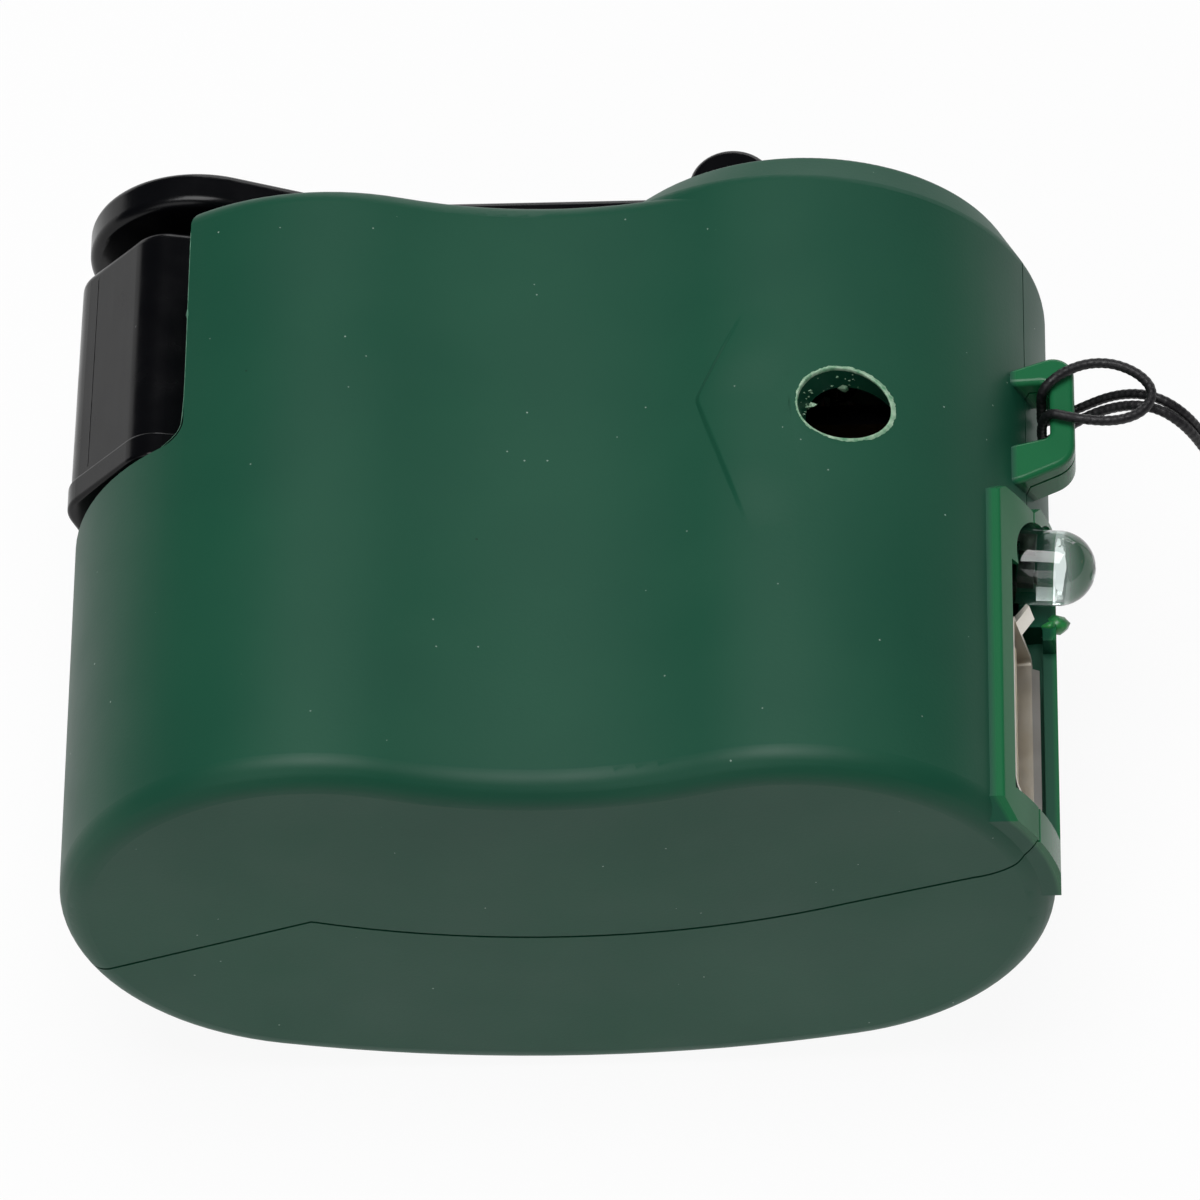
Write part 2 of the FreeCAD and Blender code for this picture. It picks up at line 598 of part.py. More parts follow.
def handle_grip():
    """A slightly tapered knob with six soft sides and a wider lip at its free end."""
    lip_top = GRIP_BOTTOM + GRIP_FLANGE_HEIGHT
    body = Part.makeLoft([grip_outline(GRIP_LOW_HALF, lip_top - 0.6),
                          grip_outline(GRIP_TOP_HALF, GRIP_TOP)], True, True)
    top = [e for e in body.Edges if e.BoundBox.YMin > GRIP_TOP - 0.01]
    body = body.makeFillet(GRIP_TOP_ROUND, top)
    lip = Part.Face(grip_outline(GRIP_FLANGE_HALF, GRIP_BOTTOM)).extrude(
        V(0, GRIP_FLANGE_HEIGHT, 0))
    ends = [e for e in lip.Edges if e.BoundBox.YLength < 0.01]
    lip = lip.makeFillet(0.3, ends)
    grip = joined([body, lip])
    bore = rod(GRIP_PIN_RADIUS + RUNNING_FIT, V(GRIP_X, GRIP_BOTTOM - 1, HUB_Z),
               V(GRIP_X, GRIP_TOP + 1, HUB_Z))
    recess = rod(GRIP_PIN_HEAD_RADIUS + 0.3, V(GRIP_X, GRIP_BOTTOM - 1, HUB_Z),
                 V(GRIP_X, GRIP_BOTTOM + GRIP_HEAD_RECESS, HUB_Z))
    return grip.cut([bore, recess])


def grip_pin():
    """The shouldered screw that the grip turns on."""
    seat = GRIP_BOTTOM + GRIP_HEAD_RECESS - 0.15
    head = rod(GRIP_PIN_HEAD_RADIUS, V(GRIP_X, seat - GRIP_PIN_HEAD_HEIGHT, HUB_Z),
               V(GRIP_X, seat, HUB_Z))
    shank = rod(GRIP_PIN_RADIUS, V(GRIP_X, seat, HUB_Z), V(GRIP_X, GRIP_TOP + 0.3, HUB_Z))
    thread = rod(GRIP_PIN_RADIUS - 0.65, V(GRIP_X, GRIP_TOP, HUB_Z),
                 V(GRIP_X, ARM_BOTTOM + 1.2, HUB_Z))
    slot = box((GRIP_X - 2, seat - GRIP_PIN_HEAD_HEIGHT - 0.1, HUB_Z - 0.4),
               (GRIP_X + 2, seat - GRIP_PIN_HEAD_HEIGHT + 0.6, HUB_Z + 0.4))
    return joined([head, shank, thread]).cut(slot)


# ------------------------------------------------------------------ gears
def involute(angle):
    return math.tan(angle) - angle


def gear(teeth, x, z, low_y, height, first_tooth, bore):
    """A spur gear on an axis along Y, with one tooth at the angle first_tooth."""
    pitch = teeth * MODULE / 2
    base = pitch * math.cos(math.radians(PRESSURE_ANGLE))
    tip = pitch + 0.85 * MODULE
    root = pitch - 1.15 * MODULE
    half_at_pitch = (math.pi * MODULE / 2 - BACKLASH) / 2 / pitch
    start = max(base, root)

    def half_angle(radius):
        pressure = math.acos(min(1.0, base / radius))
        return half_at_pitch + involute(math.radians(PRESSURE_ANGLE)) - involute(pressure)

    def at(radius, angle):
        return V(x + radius * math.cos(angle), low_y, z + radius * math.sin(angle))
    edges = []
    middle = (start + tip) / 2
    for number in range(teeth):
        centre = first_tooth + number * 2 * math.pi / teeth
        after = centre + 2 * math.pi / teeth
        low = half_angle(start)
        if base > root:
            edges.append(line(at(root, centre - low), at(start, centre - low)))
        edges.append(arc(at(start, centre - low), at(middle, centre - half_angle(middle)),
                         at(tip, centre - half_angle(tip))))
        edges.append(arc(at(tip, centre - half_angle(tip)), at(tip, centre),
                         at(tip, centre + half_angle(tip))))
        edges.append(arc(at(tip, centre + half_angle(tip)), at(middle, centre + half_angle(middle)),
                         at(start, centre + low)))
        if base > root:
            edges.append(line(at(start, centre + low), at(root, centre + low)))
        edges.append(arc(at(root, centre + low), at(root, (centre + after) / 2),
                         at(root, after - low)))
    solid = prism(edges, V(0, height, 0))
    return solid.cut(rod(bore, V(x, low_y - 1, z), V(x, low_y + height + 1, z)))


def gear_places():
    """Where the axes lie, so that each pair of pitch circles touches."""
    one = (DRIVE_TEETH + PINION_TEETH) * MODULE / 2
    two = (WHEEL_ONE_TEETH + PINION_TEETH) * MODULE / 2
    three = (WHEEL_TWO_TEETH + PINION_TEETH) * MODULE / 2
    ax, az = HUB_X - math.sqrt(one ** 2 - IDLER_ONE_DROP ** 2), HUB_Z + IDLER_ONE_DROP
    bx, bz = ax + math.sqrt(two ** 2 - IDLER_TWO_DROP ** 2), az + IDLER_TWO_DROP
    cx, cz = bx - math.sqrt(three ** 2 - ROTOR_DROP ** 2), bz + ROTOR_DROP
    return (ax, az), (bx, bz), (cx, cz)


def facing(from_x, from_z, to_x, to_z):
    return math.atan2(to_z - from_z, to_x - from_x)


def gear_train():
    (ax, az), (bx, bz), (cx, cz) = gear_places()
    layers = [LAYER_TOP - LAYER_STEP * n for n in range(3)]
    to_one = facing(HUB_X, HUB_Z, ax, az)
    to_two = facing(ax, az, bx, bz)
    to_rotor = facing(bx, bz, cx, cz)
    gap = math.pi + math.pi / PINION_TEETH
    drive = gear(DRIVE_TEETH, HUB_X, HUB_Z, layers[0], GEAR_WIDTH, to_one,
                 STUB_RADIUS + RUNNING_FIT)
    bore = AXLE_RADIUS + RUNNING_FIT
    compounds = []
    for x, z, teeth, level, towards_last, towards_next in (
            (ax, az, WHEEL_ONE_TEETH, 0, to_one, to_two),
            (bx, bz, WHEEL_TWO_TEETH, 1, to_two, to_rotor)):
        pinion = gear(PINION_TEETH, x, z, layers[level + 1] + GEAR_WIDTH,
                      LAYER_STEP, towards_last + gap, bore)
        wheel = gear(teeth, x, z, layers[level + 1], GEAR_WIDTH, towards_next, bore)
        compounds.append(pinion.fuse(wheel))
    rotor_pinion = gear(PINION_TEETH, cx, cz, layers[2] - 0.3, GEAR_WIDTH + 0.6, to_rotor + gap,
                        ROTOR_SHAFT_RADIUS)
    return drive, compounds[0], compounds[1], rotor_pinion


def gear_screw_and_washer():
    low = LAYER_TOP - 0.2
    washer = rod(3.5, V(HUB_X, low - 0.5, HUB_Z), V(HUB_X, low, HUB_Z))
    washer = washer.cut(rod(1.1, V(HUB_X, low - 1, HUB_Z), V(HUB_X, low + 1, HUB_Z)))
    head = rod(2.1, V(HUB_X, low - 1.5, HUB_Z), V(HUB_X, low - 0.5, HUB_Z))
    shank = rod(1.0, V(HUB_X, low - 0.5, HUB_Z), V(HUB_X, low + 5, HUB_Z))
    slot = box((HUB_X - 3, low - 1.6, HUB_Z - 0.3), (HUB_X + 3, low - 1.0, HUB_Z + 0.3))
    return head.fuse(shank).removeSplitter().cut(slot), washer


def shaft_bush():
    low, high = CASE_LENGTH - WALL - 0.5, CASE_LENGTH + PLATFORM_HEIGHT
    ring = rod(STUB_RADIUS + 1.25, V(HUB_X, low, HUB_Z), V(HUB_X, high, HUB_Z))
    return ring.cut(rod(STUB_RADIUS + RUNNING_FIT, V(HUB_X, low - 1, HUB_Z), V(HUB_X, high + 1, HUB_Z)))


def idler_axles():
    (ax, az), (bx, bz), _ = gear_places()
    low = PLATE_BOTTOM + 0.2
    return Part.makeCompound([
        rod(AXLE_RADIUS, V(ax, low, az), V(ax, CASE_LENGTH - WALL - 0.4, az)),
        rod(AXLE_RADIUS, V(bx, low, bz), V(bx, LAYER_TOP - 0.5, bz)),
    ])


def gear_plate():
    (ax, az), (bx, bz), (cx, cz) = gear_places()
    high = PLATE_BOTTOM + PLATE_THICKNESS
    plate = bean(WALL + 0.2, PLATE_BOTTOM, high).common(
        box((PLATE_LEFT, PLATE_BOTTOM, 0), (PLATE_RIGHT, high, 40)))
    plate = plate.cut(box((PLATE_CUT_X, PLATE_BOTTOM - 1, PLATE_CUT_Z), (40, high + 1, 40)))
    tall = LAYER_TOP - LAYER_STEP - 0.3
    for x, z, radius, stand_top in ((ax, az, 1.5, tall), (bx, bz, 2.2, high + 0.9)):
        plate = plate.fuse(rod(radius, V(x, high - 0.2, z), V(x, stand_top, z)))
        plate = plate.cut(rod(AXLE_RADIUS, V(x, PLATE_BOTTOM - 1, z), V(x, high + 8, z)))
    plate = plate.cut(rod(3.8, V(cx, PLATE_BOTTOM - 1, cz), V(cx, high + 1, cz)))
    for side in (-8, 8):
        plate = plate.cut(rod(1.1, V(cx + side, PLATE_BOTTOM - 1, cz), V(cx + side, high + 1, cz)))
    return plate.removeSplitter()


def plate_screws():
    _, _, (cx, cz) = gear_places()
    top = PLATE_BOTTOM + PLATE_THICKNESS
    screws = []
    for side in (-8, 8):
        x = cx + side
        head = rod(1.7, V(x, top, cz), V(x, top + 1.1, cz))
        shank = rod(1.0, V(x, PLATE_BOTTOM - 0.7, cz), V(x, top, cz))
        slot = box((x - 1.2, top + 0.6, cz - 0.2), (x + 1.2, top + 1.2, cz + 0.2))
        screws.append(head.fuse(shank).removeSplitter().cut(slot))
    return Part.makeCompound(screws)


# ------------------------------------------------------------------ generator
def flat_can(radius, flat, low, high):
    _, _, (cx, cz) = gear_places()
    tube = rod(radius, V(cx, low, cz), V(cx, high, cz))
    return tube.common(box((cx - 20, low, cz - flat), (cx + 20, high, cz + flat)))


def generator_can():
    _, _, (cx, cz) = gear_places()
    shell = flat_can(CAN_RADIUS, CAN_FLAT, CAN_BOTTOM, PLATE_BOTTOM)
    hollow = flat_can(CAN_RADIUS - CAN_SHEET, CAN_FLAT - CAN_SHEET, CAN_BOTTOM - 1,
                      PLATE_BOTTOM - CAN_SHEET)
    nose = rod(3.0, V(cx, PLATE_BOTTOM - 0.5, cz), V(cx, PLATE_BOTTOM + 1.3, cz))
    shell = shell.cut(hollow).fuse(nose)
    low, high = PLATE_BOTTOM - 6, PLATE_BOTTOM + 4
    cuts = [rod(ROTOR_SHAFT_RADIUS + RUNNING_FIT, V(cx, low, cz), V(cx, high, cz))]
    for side in (-8, 8):
        cuts.append(rod(1.0 + RUNNING_FIT, V(cx + side, low, cz), V(cx + side, high, cz)))
    return shell.cut(cuts).removeSplitter()


def generator_end_cap():
    _, _, (cx, cz) = gear_places()
    cap = flat_can(CAN_RADIUS, CAN_FLAT, CAP_BOTTOM, CAN_BOTTOM)
    spigot = flat_can(CAN_RADIUS - CAN_SHEET - 0.1, CAN_FLAT - CAN_SHEET - 0.1, CAN_BOTTOM,
                      CAN_BOTTOM + 1.5)
    cap = cap.fuse(spigot).cut(rod(5.4, V(cx, CAP_BOTTOM + 1.2, cz), V(cx, CAN_BOTTOM + 3, cz)))
    bearing = rod(2.4, V(cx, CAP_BOTTOM - 1.0, cz), V(cx, CAP_BOTTOM + 1.3, cz))
    cap = cap.fuse(bearing)
    return cap.cut(rod(ROTOR_SHAFT_RADIUS + RUNNING_FIT, V(cx, 0, cz),
                       V(cx, CAN_BOTTOM + 3, cz))).removeSplitter()


def generator_magnets():
    _, _, (cx, cz) = gear_places()
    low, high = CAN_BOTTOM + 3.2, PLATE_BOTTOM - CAN_SHEET - 2.5
    outside = CAN_RADIUS - CAN_SHEET - 0.05
    ring = rod(outside, V(cx, low, cz), V(cx, high, cz)).cut(
        rod(outside - MAGNET_THICKNESS - 1.0, V(cx, low - 1, cz), V(cx, high + 1, cz)))
    reach = CAN_FLAT - CAN_SHEET - 0.6
    pieces = []
    for side in (-1, 1):
        low_x, high_x = sorted((cx + side * 5.6, cx + side * 12))
        pieces.append(ring.common(box((low_x, low, cz - reach), (high_x, high, cz + reach))))
    return Part.makeCompound(pieces)


def rotor_shaft():
    _, _, (cx, cz) = gear_places()
    top = LAYER_TOP - 2 * LAYER_STEP + GEAR_WIDTH + 0.3
    return rod(ROTOR_SHAFT_RADIUS, V(cx, CAP_BOTTOM - 0.8, cz), V(cx, top, cz))


def rotor_core():
    """The three-pole wound core and the commutator, on the rotor's shaft."""
    _, _, (cx, cz) = gear_places()
    low, high = CAN_BOTTOM + 4.0, PLATE_BOTTOM - CAN_SHEET - 3.0
    core = rod(CORE_RADIUS, V(cx, low, cz), V(cx, high, cz))
    for turn in range(3):
        angle = math.radians(120 * turn + 90)
        slot = box((-0.9, low - 1, 2.4), (0.9, high + 1, 8))
        slot.rotate(V(0, 0, 0), V(0, 1, 0), math.degrees(angle))
        slot.translate(V(cx, 0, cz))
        core = core.cut(slot)
    commutator = rod(2.2, V(cx, CAN_BOTTOM + 0.4, cz), V(cx, low, cz))
    core = core.fuse(commutator)
    return core.cut(rod(ROTOR_SHAFT_RADIUS, V(cx, 0, cz), V(cx, 50, cz))).removeSplitter()


def generator_terminals():
    _, _, (cx, cz) = gear_places()
    tabs = []
    for side in (-1, 1):
        x = cx + side * TERMINAL_OFFSET
        tab = box((x - 1.0, CAP_BOTTOM - 3.0, cz - 0.2), (x + 1.0, CAP_BOTTOM, cz + 0.2))
        hole = rod(0.45, V(x, CAP_BOTTOM - 1.9, cz - 2), V(x, CAP_BOTTOM - 1.9, cz + 2))
        tabs.append(tab.cut(hole))
    return Part.makeCompound(tabs)


# ------------------------------------------------------------------ electronics
BOARD_TOP = -USB_HEIGHT / 2 - 0.05


def circuit_board():
    low = BOARD_TOP - BOARD_THICKNESS
    board = box((BOARD_LEFT, BOARD_LOW_Y - USB_Y, low), (BOARD_RIGHT, BOARD_HIGH_Y - USB_Y, BOARD_TOP))
    notch = box((BOARD_NOTCH_X, BOARD_NOTCH_Y, low - 1), (0, 30, BOARD_TOP + 1))
    return usb_frame(board.cut(notch))


def smoothing_capacitor():
    can = rod(2.5, V(BOARD_LEFT + 3.0, 11.6, BOARD_TOP), V(BOARD_LEFT + 3.0, 11.6, BOARD_TOP + 7.0))
    rim = [e for e in can.Edges if e.BoundBox.ZMin > BOARD_TOP + 6.9]
    return usb_frame(can.makeFillet(0.4, rim))


def rectifier_diodes():
    low = BOARD_TOP - BOARD_THICKNESS
    diodes = []
    for number in range(4):
        y = -5.5 + 3.2 * number
        diodes.append(usb_frame(rod(1.1, V(-12.5, y, low - 1.15), V(-8.3, y, low - 1.15))))
    return Part.makeCompound(diodes)


def regulator_chip():
    low = BOARD_TOP
    body = box((-8.6, 7.6, low), (-4.4, 10.4, low + 1.4))
    return usb_frame(body)


def usb_shell():
    half_width, half_height = USB_WIDTH / 2, USB_HEIGHT / 2
    outside = box((-USB_DEPTH, -half_width, -half_height), (0, half_width, half_height))
    along = [e for e in outside.Edges if e.BoundBox.XLength > 5]
    outside = outside.makeFillet(0.7, along)
    inside = box((-USB_DEPTH + USB_SHEET, -half_width + USB_SHEET, -half_height + USB_SHEET),
                 (1, half_width - USB_SHEET, half_height - USB_SHEET))
    along = [e for e in inside.Edges if e.BoundBox.XLength > 5]
    inside = inside.makeFillet(0.7 - USB_SHEET, along)
    shell = outside.cut(inside)
    for side in (-1, 1):
        y = 3.0 * side
        shell = shell.cut(box((-8.5, y - 0.7, half_height - 1), (-4.0, y + 0.7, half_height + 1)))
    flare = polygon_prism([
        V(-0.3, half_width - USB_SHEET, 0.4), V(-0.02, half_width - USB_SHEET, 0.4),
        V(0.9, half_width + 0.9, 0.4), V(0.7, half_width + 1.1, 0.4),
        V(-0.3, half_width, 0.4)], V(0, 0, 1.6))
    low, left = -half_height, -half_width + 0.95
    lip = polygon_prism([
        V(-0.4, left, low + USB_SHEET), V(0, left, low + USB_SHEET),
        V(0.45, left, low - 0.1), V(0.25, left, low - 0.3),
        V(-0.1, left, low), V(-0.4, left, low)], V(0, -2 * left, 0))
    return usb_frame(joined([shell, flare, lip]))


def usb_tongue():
    half = TONGUE_WIDTH / 2
    low = TONGUE_OFFSET - TONGUE_THICKNESS / 2
    back = -USB_DEPTH + USB_SHEET
    tongue = box((back, -half, low), (back + TONGUE_LENGTH + 3.6, half, low + TONGUE_THICKNESS))
    block = box((back, -half - 0.25, -USB_HEIGHT / 2 + USB_SHEET),
                (back + 3.6, half + 0.25, USB_HEIGHT / 2 - USB_SHEET))
    piece = tongue.fuse(block).removeSplitter()
    return usb_frame(piece)


def usb_contacts():
    low = TONGUE_OFFSET - TONGUE_THICKNESS / 2
    front = -USB_DEPTH + USB_SHEET + TONGUE_LENGTH + 3.6
    strips = []
    for y, length in ((-3.5, 7.0), (-1.0, 6.2), (1.0, 6.2), (3.5, 7.0)):
        strips.append(usb_frame(box((front - 0.6 - length, y - 0.5, low - 0.2),
                                    (front - 0.6, y + 0.5, low))))
    return Part.makeCompound(strips)


def led_lens():
    start, dome = V(LED_BODY_START, LED_Y, LED_Z), V(LED_DOME_X, LED_Y, LED_Z)
    barrel = rod(LED_RADIUS, start, dome)
    ball = Part.makeSphere(LED_RADIUS, dome)
    flange = rod(LED_FLANGE_RADIUS, start, start + V(1.0, 0, 0))
    return led_frame(joined([barrel, ball, flange]))


def led_leads():
    leads = []
    for side in (-1, 1):
        y = LED_Y + 1.27 * side
        x = LED_BODY_START - 2.8
        level = box((x, y - 0.25, LED_Z - 0.25), (LED_BODY_START - 0.05, y + 0.25, LED_Z + 0.25))
        drop = box((x, y - 0.25, LED_Z - 2.8), (x + 0.5, y + 0.25, LED_Z + 0.25))
        leads.append(led_frame(level.fuse(drop).removeSplitter()))
    return Part.makeCompound(leads)


# ------------------------------------------------------------------ cords
def route(points):
    """Straight runs joined by tangent arcs, as one wire."""
    edges = []
    start = points[0]
    for before, corner, after in zip(points, points[1:], points[2:]):
        back, ahead = before - corner, after - corner
        half = (math.pi - back.getAngle(ahead)) / 2
        reach = 0.45 * min(back.Length, ahead.Length)
        radius = reach / math.tan(half)
        back.normalize()
        ahead.normalize()
        enter, leave = corner + back * reach, corner + ahead * reach
        inward = back + ahead
        inward.normalize()
        middle = corner + inward * (radius / math.cos(half) - radius)
        edges += [line(start, enter), arc(enter, middle, leave)]
        start = leave
        print("bend radius %.2f" % radius)
    edges.append(line(start, points[-1]))
    return Part.Wire(edges)


def tube(points, radius, name):
    wire = route(points)
    direction = points[1] - points[0]
    profile = Part.Wire(Part.makeCircle(radius, points[0], direction))
    solid = wire.makePipeShell([profile], True, True)
    expected = math.pi * radius ** 2 * wire.Length
    print(name, "length %.1f" % wire.Length, "volume / expected %.4f" % (solid.Volume / expected))
    return solid


HITCH_POINTS = [
    V(32.1, 34.55, 25.4), V(32.1, 34.6, 28.2), V(34.3, 36.3, 28.25), V(36.6, 36.6, 28.2),
    V(38.6, 35.7, 28.1), V(39.6, 34.2, 28.05), V(38.9, 32.6, 28.05), V(37.0, 31.8, 28.1),
    V(34.4, 32.0, 28.25), V(32.1, 32.8, 28.2), V(32.1, 32.8, 25.4),
]
TAIL_ONE_POINTS = [
    V(32.1, 34.55, 25.4), V(32.1, 34.55, 23.9), V(34.6, 35.9, 23.9), V(37.0, 36.0, 25.3),
    V(39.3, 35.2, 26.4), V(41.4, 34.4, 25.6), V(43.1, 34.1, 22.6), V(44.9, 33.9, 17.2),
    V(47.6, 33.2, 10.4), V(50.9, 31.9, 4.9), V(54.6, 29.9, 1.4), V(58.6, 28.1, 0.5),
    V(61.5, 27.3, 0.45), V(64.4, 26.9, 0.45),
]
TAIL_TWO_POINTS = [
    V(32.1, 32.8, 25.4), V(32.1, 32.8, 23.9), V(34.2, 34.75, 23.9), V(36.7, 35.05, 25.2),
    V(39.2, 34.4, 26.3), V(41.3, 33.6, 25.5), V(43.0, 33.3, 22.5), V(44.8, 33.1, 17.1),
    V(47.5, 32.4, 10.3), V(50.8, 31.1, 4.85), V(54.5, 29.1, 1.35), V(58.5, 27.3, 0.5),
    V(61.4, 26.5, 0.45), V(64.4, 26.05, 0.45),
]


def coil():
    """The rest of the lanyard, put away as a small coil, with the knot at its end."""
    tail_one, tail_two = TAIL_ONE_POINTS[-1], TAIL_TWO_POINTS[-1]
    half = COIL_WIDTH / 2
    low = V(tail_one.x + COIL_ENTRY, tail_one.y + COIL_TURN_RADIUS + 0.1, COIL_LIFT)
    height = V(0, 0, COIL_HEIGHT)
    ring = rod(COIL_TURN_RADIUS + half, low, low + height)
    ring = ring.cut(rod(COIL_TURN_RADIUS - half, low - height, low + height * 2))
    ring = ring.makeFillet(0.6, ring.Edges)
    side = CORD_RADIUS + 0.1
    entry = box((tail_one.x, tail_two.y - side, tail_one.z - CORD_RADIUS - 0.05),
                (low.x, tail_one.y + side, tail_one.z + side))
    reach = COIL_TURN_RADIUS + half + 0.7 * KNOT_RADIUS
    ball = Part.makeSphere(KNOT_RADIUS, low + V(-0.8 * reach, 0.6 * reach, KNOT_RADIUS))
    return joined([ring, entry, ball])


def generator_wires():
    """The two leads from the generator's tabs to the circuit board."""
    _, _, (cx, cz) = gear_places()
    right, left = cx + TERMINAL_OFFSET, cx - TERMINAL_OFFSET
    tab_y, tab_z = CAP_BOTTOM - 1.9, cz + 0.2
    end = USB_X - 14.1
    short = [V(right, tab_y, tab_z), V(right, tab_y - 0.1, tab_z + 4.2), V(8.6, 7.6, 20.6),
             V(end - 5.1, 9.4, 23.0), V(end - 1.9, 9.6, 22.3), V(end, 9.6, 18.75)]
    long = [V(left, tab_y, tab_z), V(left, tab_y - 0.2, tab_z + 4.0), V(-0.2, 7.4, 20.4),
            V(3.0, 9.6, 23.2), V(7.4, 11.2, 23.9), V(end - 4.9, 11.6, 23.4),
            V(end - 1.8, 11.5, 21.8), V(end, 11.4, 18.75)]
    return Part.makeCompound([tube(short, WIRE_RADIUS, "short wire"),
                              tube(long, WIRE_RADIUS, "long wire")])


# ------------------------------------------------------------------ export
def export():
    front, rear = case_halves()
    drive, idler_one, idler_two, rotor_pinion = gear_train()
    gear_screw, gear_washer = gear_screw_and_washer()
    nodes = {
        "front_shell": front,
        "rear_shell": rear,
        "case_screws": case_screws(),
        "crank_hub": crank_hub(),
        "shaft_bush": shaft_bush(),
        "hinge_pin": hinge_pin(),
        "crank_arm": crank_arm(),
        "handle_grip": handle_grip(),
        "grip_pin": grip_pin(),
        "drive_gear": drive,
        "drive_gear_screw": gear_screw,
        "drive_gear_washer": gear_washer,
        "idler_gear_one": idler_one,
        "idler_gear_two": idler_two,
        "idler_axles": idler_axles(),
        "gear_plate": gear_plate(),
        "plate_screws": plate_screws(),
        "generator_can": generator_can(),
        "generator_end_cap": generator_end_cap(),
        "generator_magnets": generator_magnets(),
        "generator_terminals": generator_terminals(),
        "generator_pinion": rotor_pinion,
        "rotor_shaft": rotor_shaft(),
        "rotor_core": rotor_core(),
        "circuit_board": circuit_board(),
        "smoothing_capacitor": smoothing_capacitor(),
        "rectifier_diodes": rectifier_diodes(),
        "regulator_chip": regulator_chip(),
        "usb_shell": usb_shell(),
        "usb_tongue": usb_tongue(),
        "usb_contacts": usb_contacts(),
        "lamp_lens": led_lens(),
        "lamp_leads": led_leads(),
        "generator_wires": generator_wires(),
        "lanyard_hitch": tube(HITCH_POINTS, CORD_RADIUS, "lanyard_hitch"),
        "lanyard_tail_one": tube(TAIL_ONE_POINTS, CORD_RADIUS, "lanyard_tail_one"),
        "lanyard_tail_two": tube(TAIL_TWO_POINTS, CORD_RADIUS, "lanyard_tail_two"),
        "lanyard_coil": coil(),
    }
    cords = [name for name in nodes if name.startswith("lanyard")]
    bound = None
    for name, shape in nodes.items():
        if name in cords:
            continue
        extent = shape.optimalBoundingBox(False, False)
        if bound is None:
            bound = extent
        else:
            bound.add(extent)
    shift = V(-bound.Center.x, -bound.Center.y, -bound.ZMin)
    print("origin moved by", shift, "size", bound.XLength, bound.YLength, bound.ZLength)
    os.makedirs("parts", exist_ok=True)
    for name, shape in nodes.items():
        placed = shape.translated(shift)
        placed.exportStep("parts/%s.step" % name)
        print(name, "solids", len(placed.Solids), "valid", placed.isValid(),
              "volume %.1f" % placed.Volume)


export()
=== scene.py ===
import math
import random

import bmesh
import bpy
from bpy.props import FloatProperty, FloatVectorProperty, IntProperty, PointerProperty
from mathutils import Matrix, Vector, noise


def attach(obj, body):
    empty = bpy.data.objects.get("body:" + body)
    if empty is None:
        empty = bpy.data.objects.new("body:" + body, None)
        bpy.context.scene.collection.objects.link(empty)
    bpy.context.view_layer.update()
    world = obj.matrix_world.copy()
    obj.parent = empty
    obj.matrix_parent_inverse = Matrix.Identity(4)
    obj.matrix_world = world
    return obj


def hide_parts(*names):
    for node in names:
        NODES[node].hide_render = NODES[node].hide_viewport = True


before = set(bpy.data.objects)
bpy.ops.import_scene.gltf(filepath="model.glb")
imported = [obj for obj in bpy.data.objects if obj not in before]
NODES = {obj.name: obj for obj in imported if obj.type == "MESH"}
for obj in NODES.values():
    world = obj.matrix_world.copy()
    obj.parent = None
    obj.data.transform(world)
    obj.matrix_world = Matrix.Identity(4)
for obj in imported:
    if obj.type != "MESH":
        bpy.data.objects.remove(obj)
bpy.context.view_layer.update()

bl_info = {
    "name": "Hand crank charger",
    "version": (1, 0, 0),
    "blender": (4, 5, 0),
    "location": "View3D > Sidebar > Charger",
    "description": "Dresses a hand crank phone charger and sets it on a pale studio floor",
    "category": "Object",
}

# The case's own measures, in millimetres. Its axes are the frame's, from the
# plain end face, the middle of its width and its back.
SHIFT = Vector((-1.3278, -27.9, 0.0))
MM = 0.001
LOBE_RADIUS = 17.1
LOBE_X = 15.35
LOBE_Z = 18.9
WAIST_DIP = 2.5
HUB_Z = 21.0
GRIP_X = -24.7
HOLE_MIDDLE = Vector((19.2, 28.5, 35.55))
HOLE_RADIUS = 2.8
HOLE_TILT = math.radians(-15.0)
GRIP_LOW_HALF = 7.34
GRIP_TOP_HALF = 7.16
GRIP_LOW = 31.5
GRIP_TOP = 48.9
LAMP_DOME = Vector((33.0, 23.7, 23.0))
LAMP_TILT = math.radians(-5.0)


def at(x, y, z):
    """A point in the case's millimetres, as a point of the frame in metres."""
    return (Vector((x, y, z)) + SHIFT) * MM


def linear(text):
    """An sRGB hex colour as linear red, green, blue and alpha."""
    values = [int(text[i:i + 2], 16) / 255 for i in (1, 3, 5)]
    return tuple(v / 12.92 if v <= 0.04045 else ((v + 0.055) / 1.055) ** 2.4 for v in values) + (1.0,)


def smooth_step(low, high, value):
    share = min(1.0, max(0.0, (value - low) / (high - low)))
    return share * share * (3 - 2 * share)


# ------------------------------------------------------------------ node trees
def add(tree, kind, inputs=None, **settings):
    """Adds a node. Its settings are attributes, and its inputs are numbers or links."""
    made = tree.nodes.new(kind)
    for name, value in settings.items():
        setattr(made, name, value)
    for name, value in (inputs or {}).items():
        if isinstance(value, bpy.types.NodeSocket):
            tree.links.new(value, made.inputs[name])
        else:
            made.inputs[name].default_value = value
    return made


def finish(name, fixed, make=None):
    """A material with one Principled shader. make adds what varies over the surface."""
    material = bpy.data.materials.get(name)
    if material:
        return material
    material = bpy.data.materials.new(name)
    material.use_nodes = True
    tree = material.node_tree
    tree.nodes.clear()
    shader = add(tree, "ShaderNodeBsdfPrincipled", fixed)
    output = add(tree, "ShaderNodeOutputMaterial")
    tree.links.new(shader.outputs["BSDF"], output.inputs["Surface"])
    if make:
        coords = add(tree, "ShaderNodeTexCoord").outputs["Object"]
        for socket, source in make(tree, coords).items():
            tree.links.new(source, shader.inputs[socket])
    return material


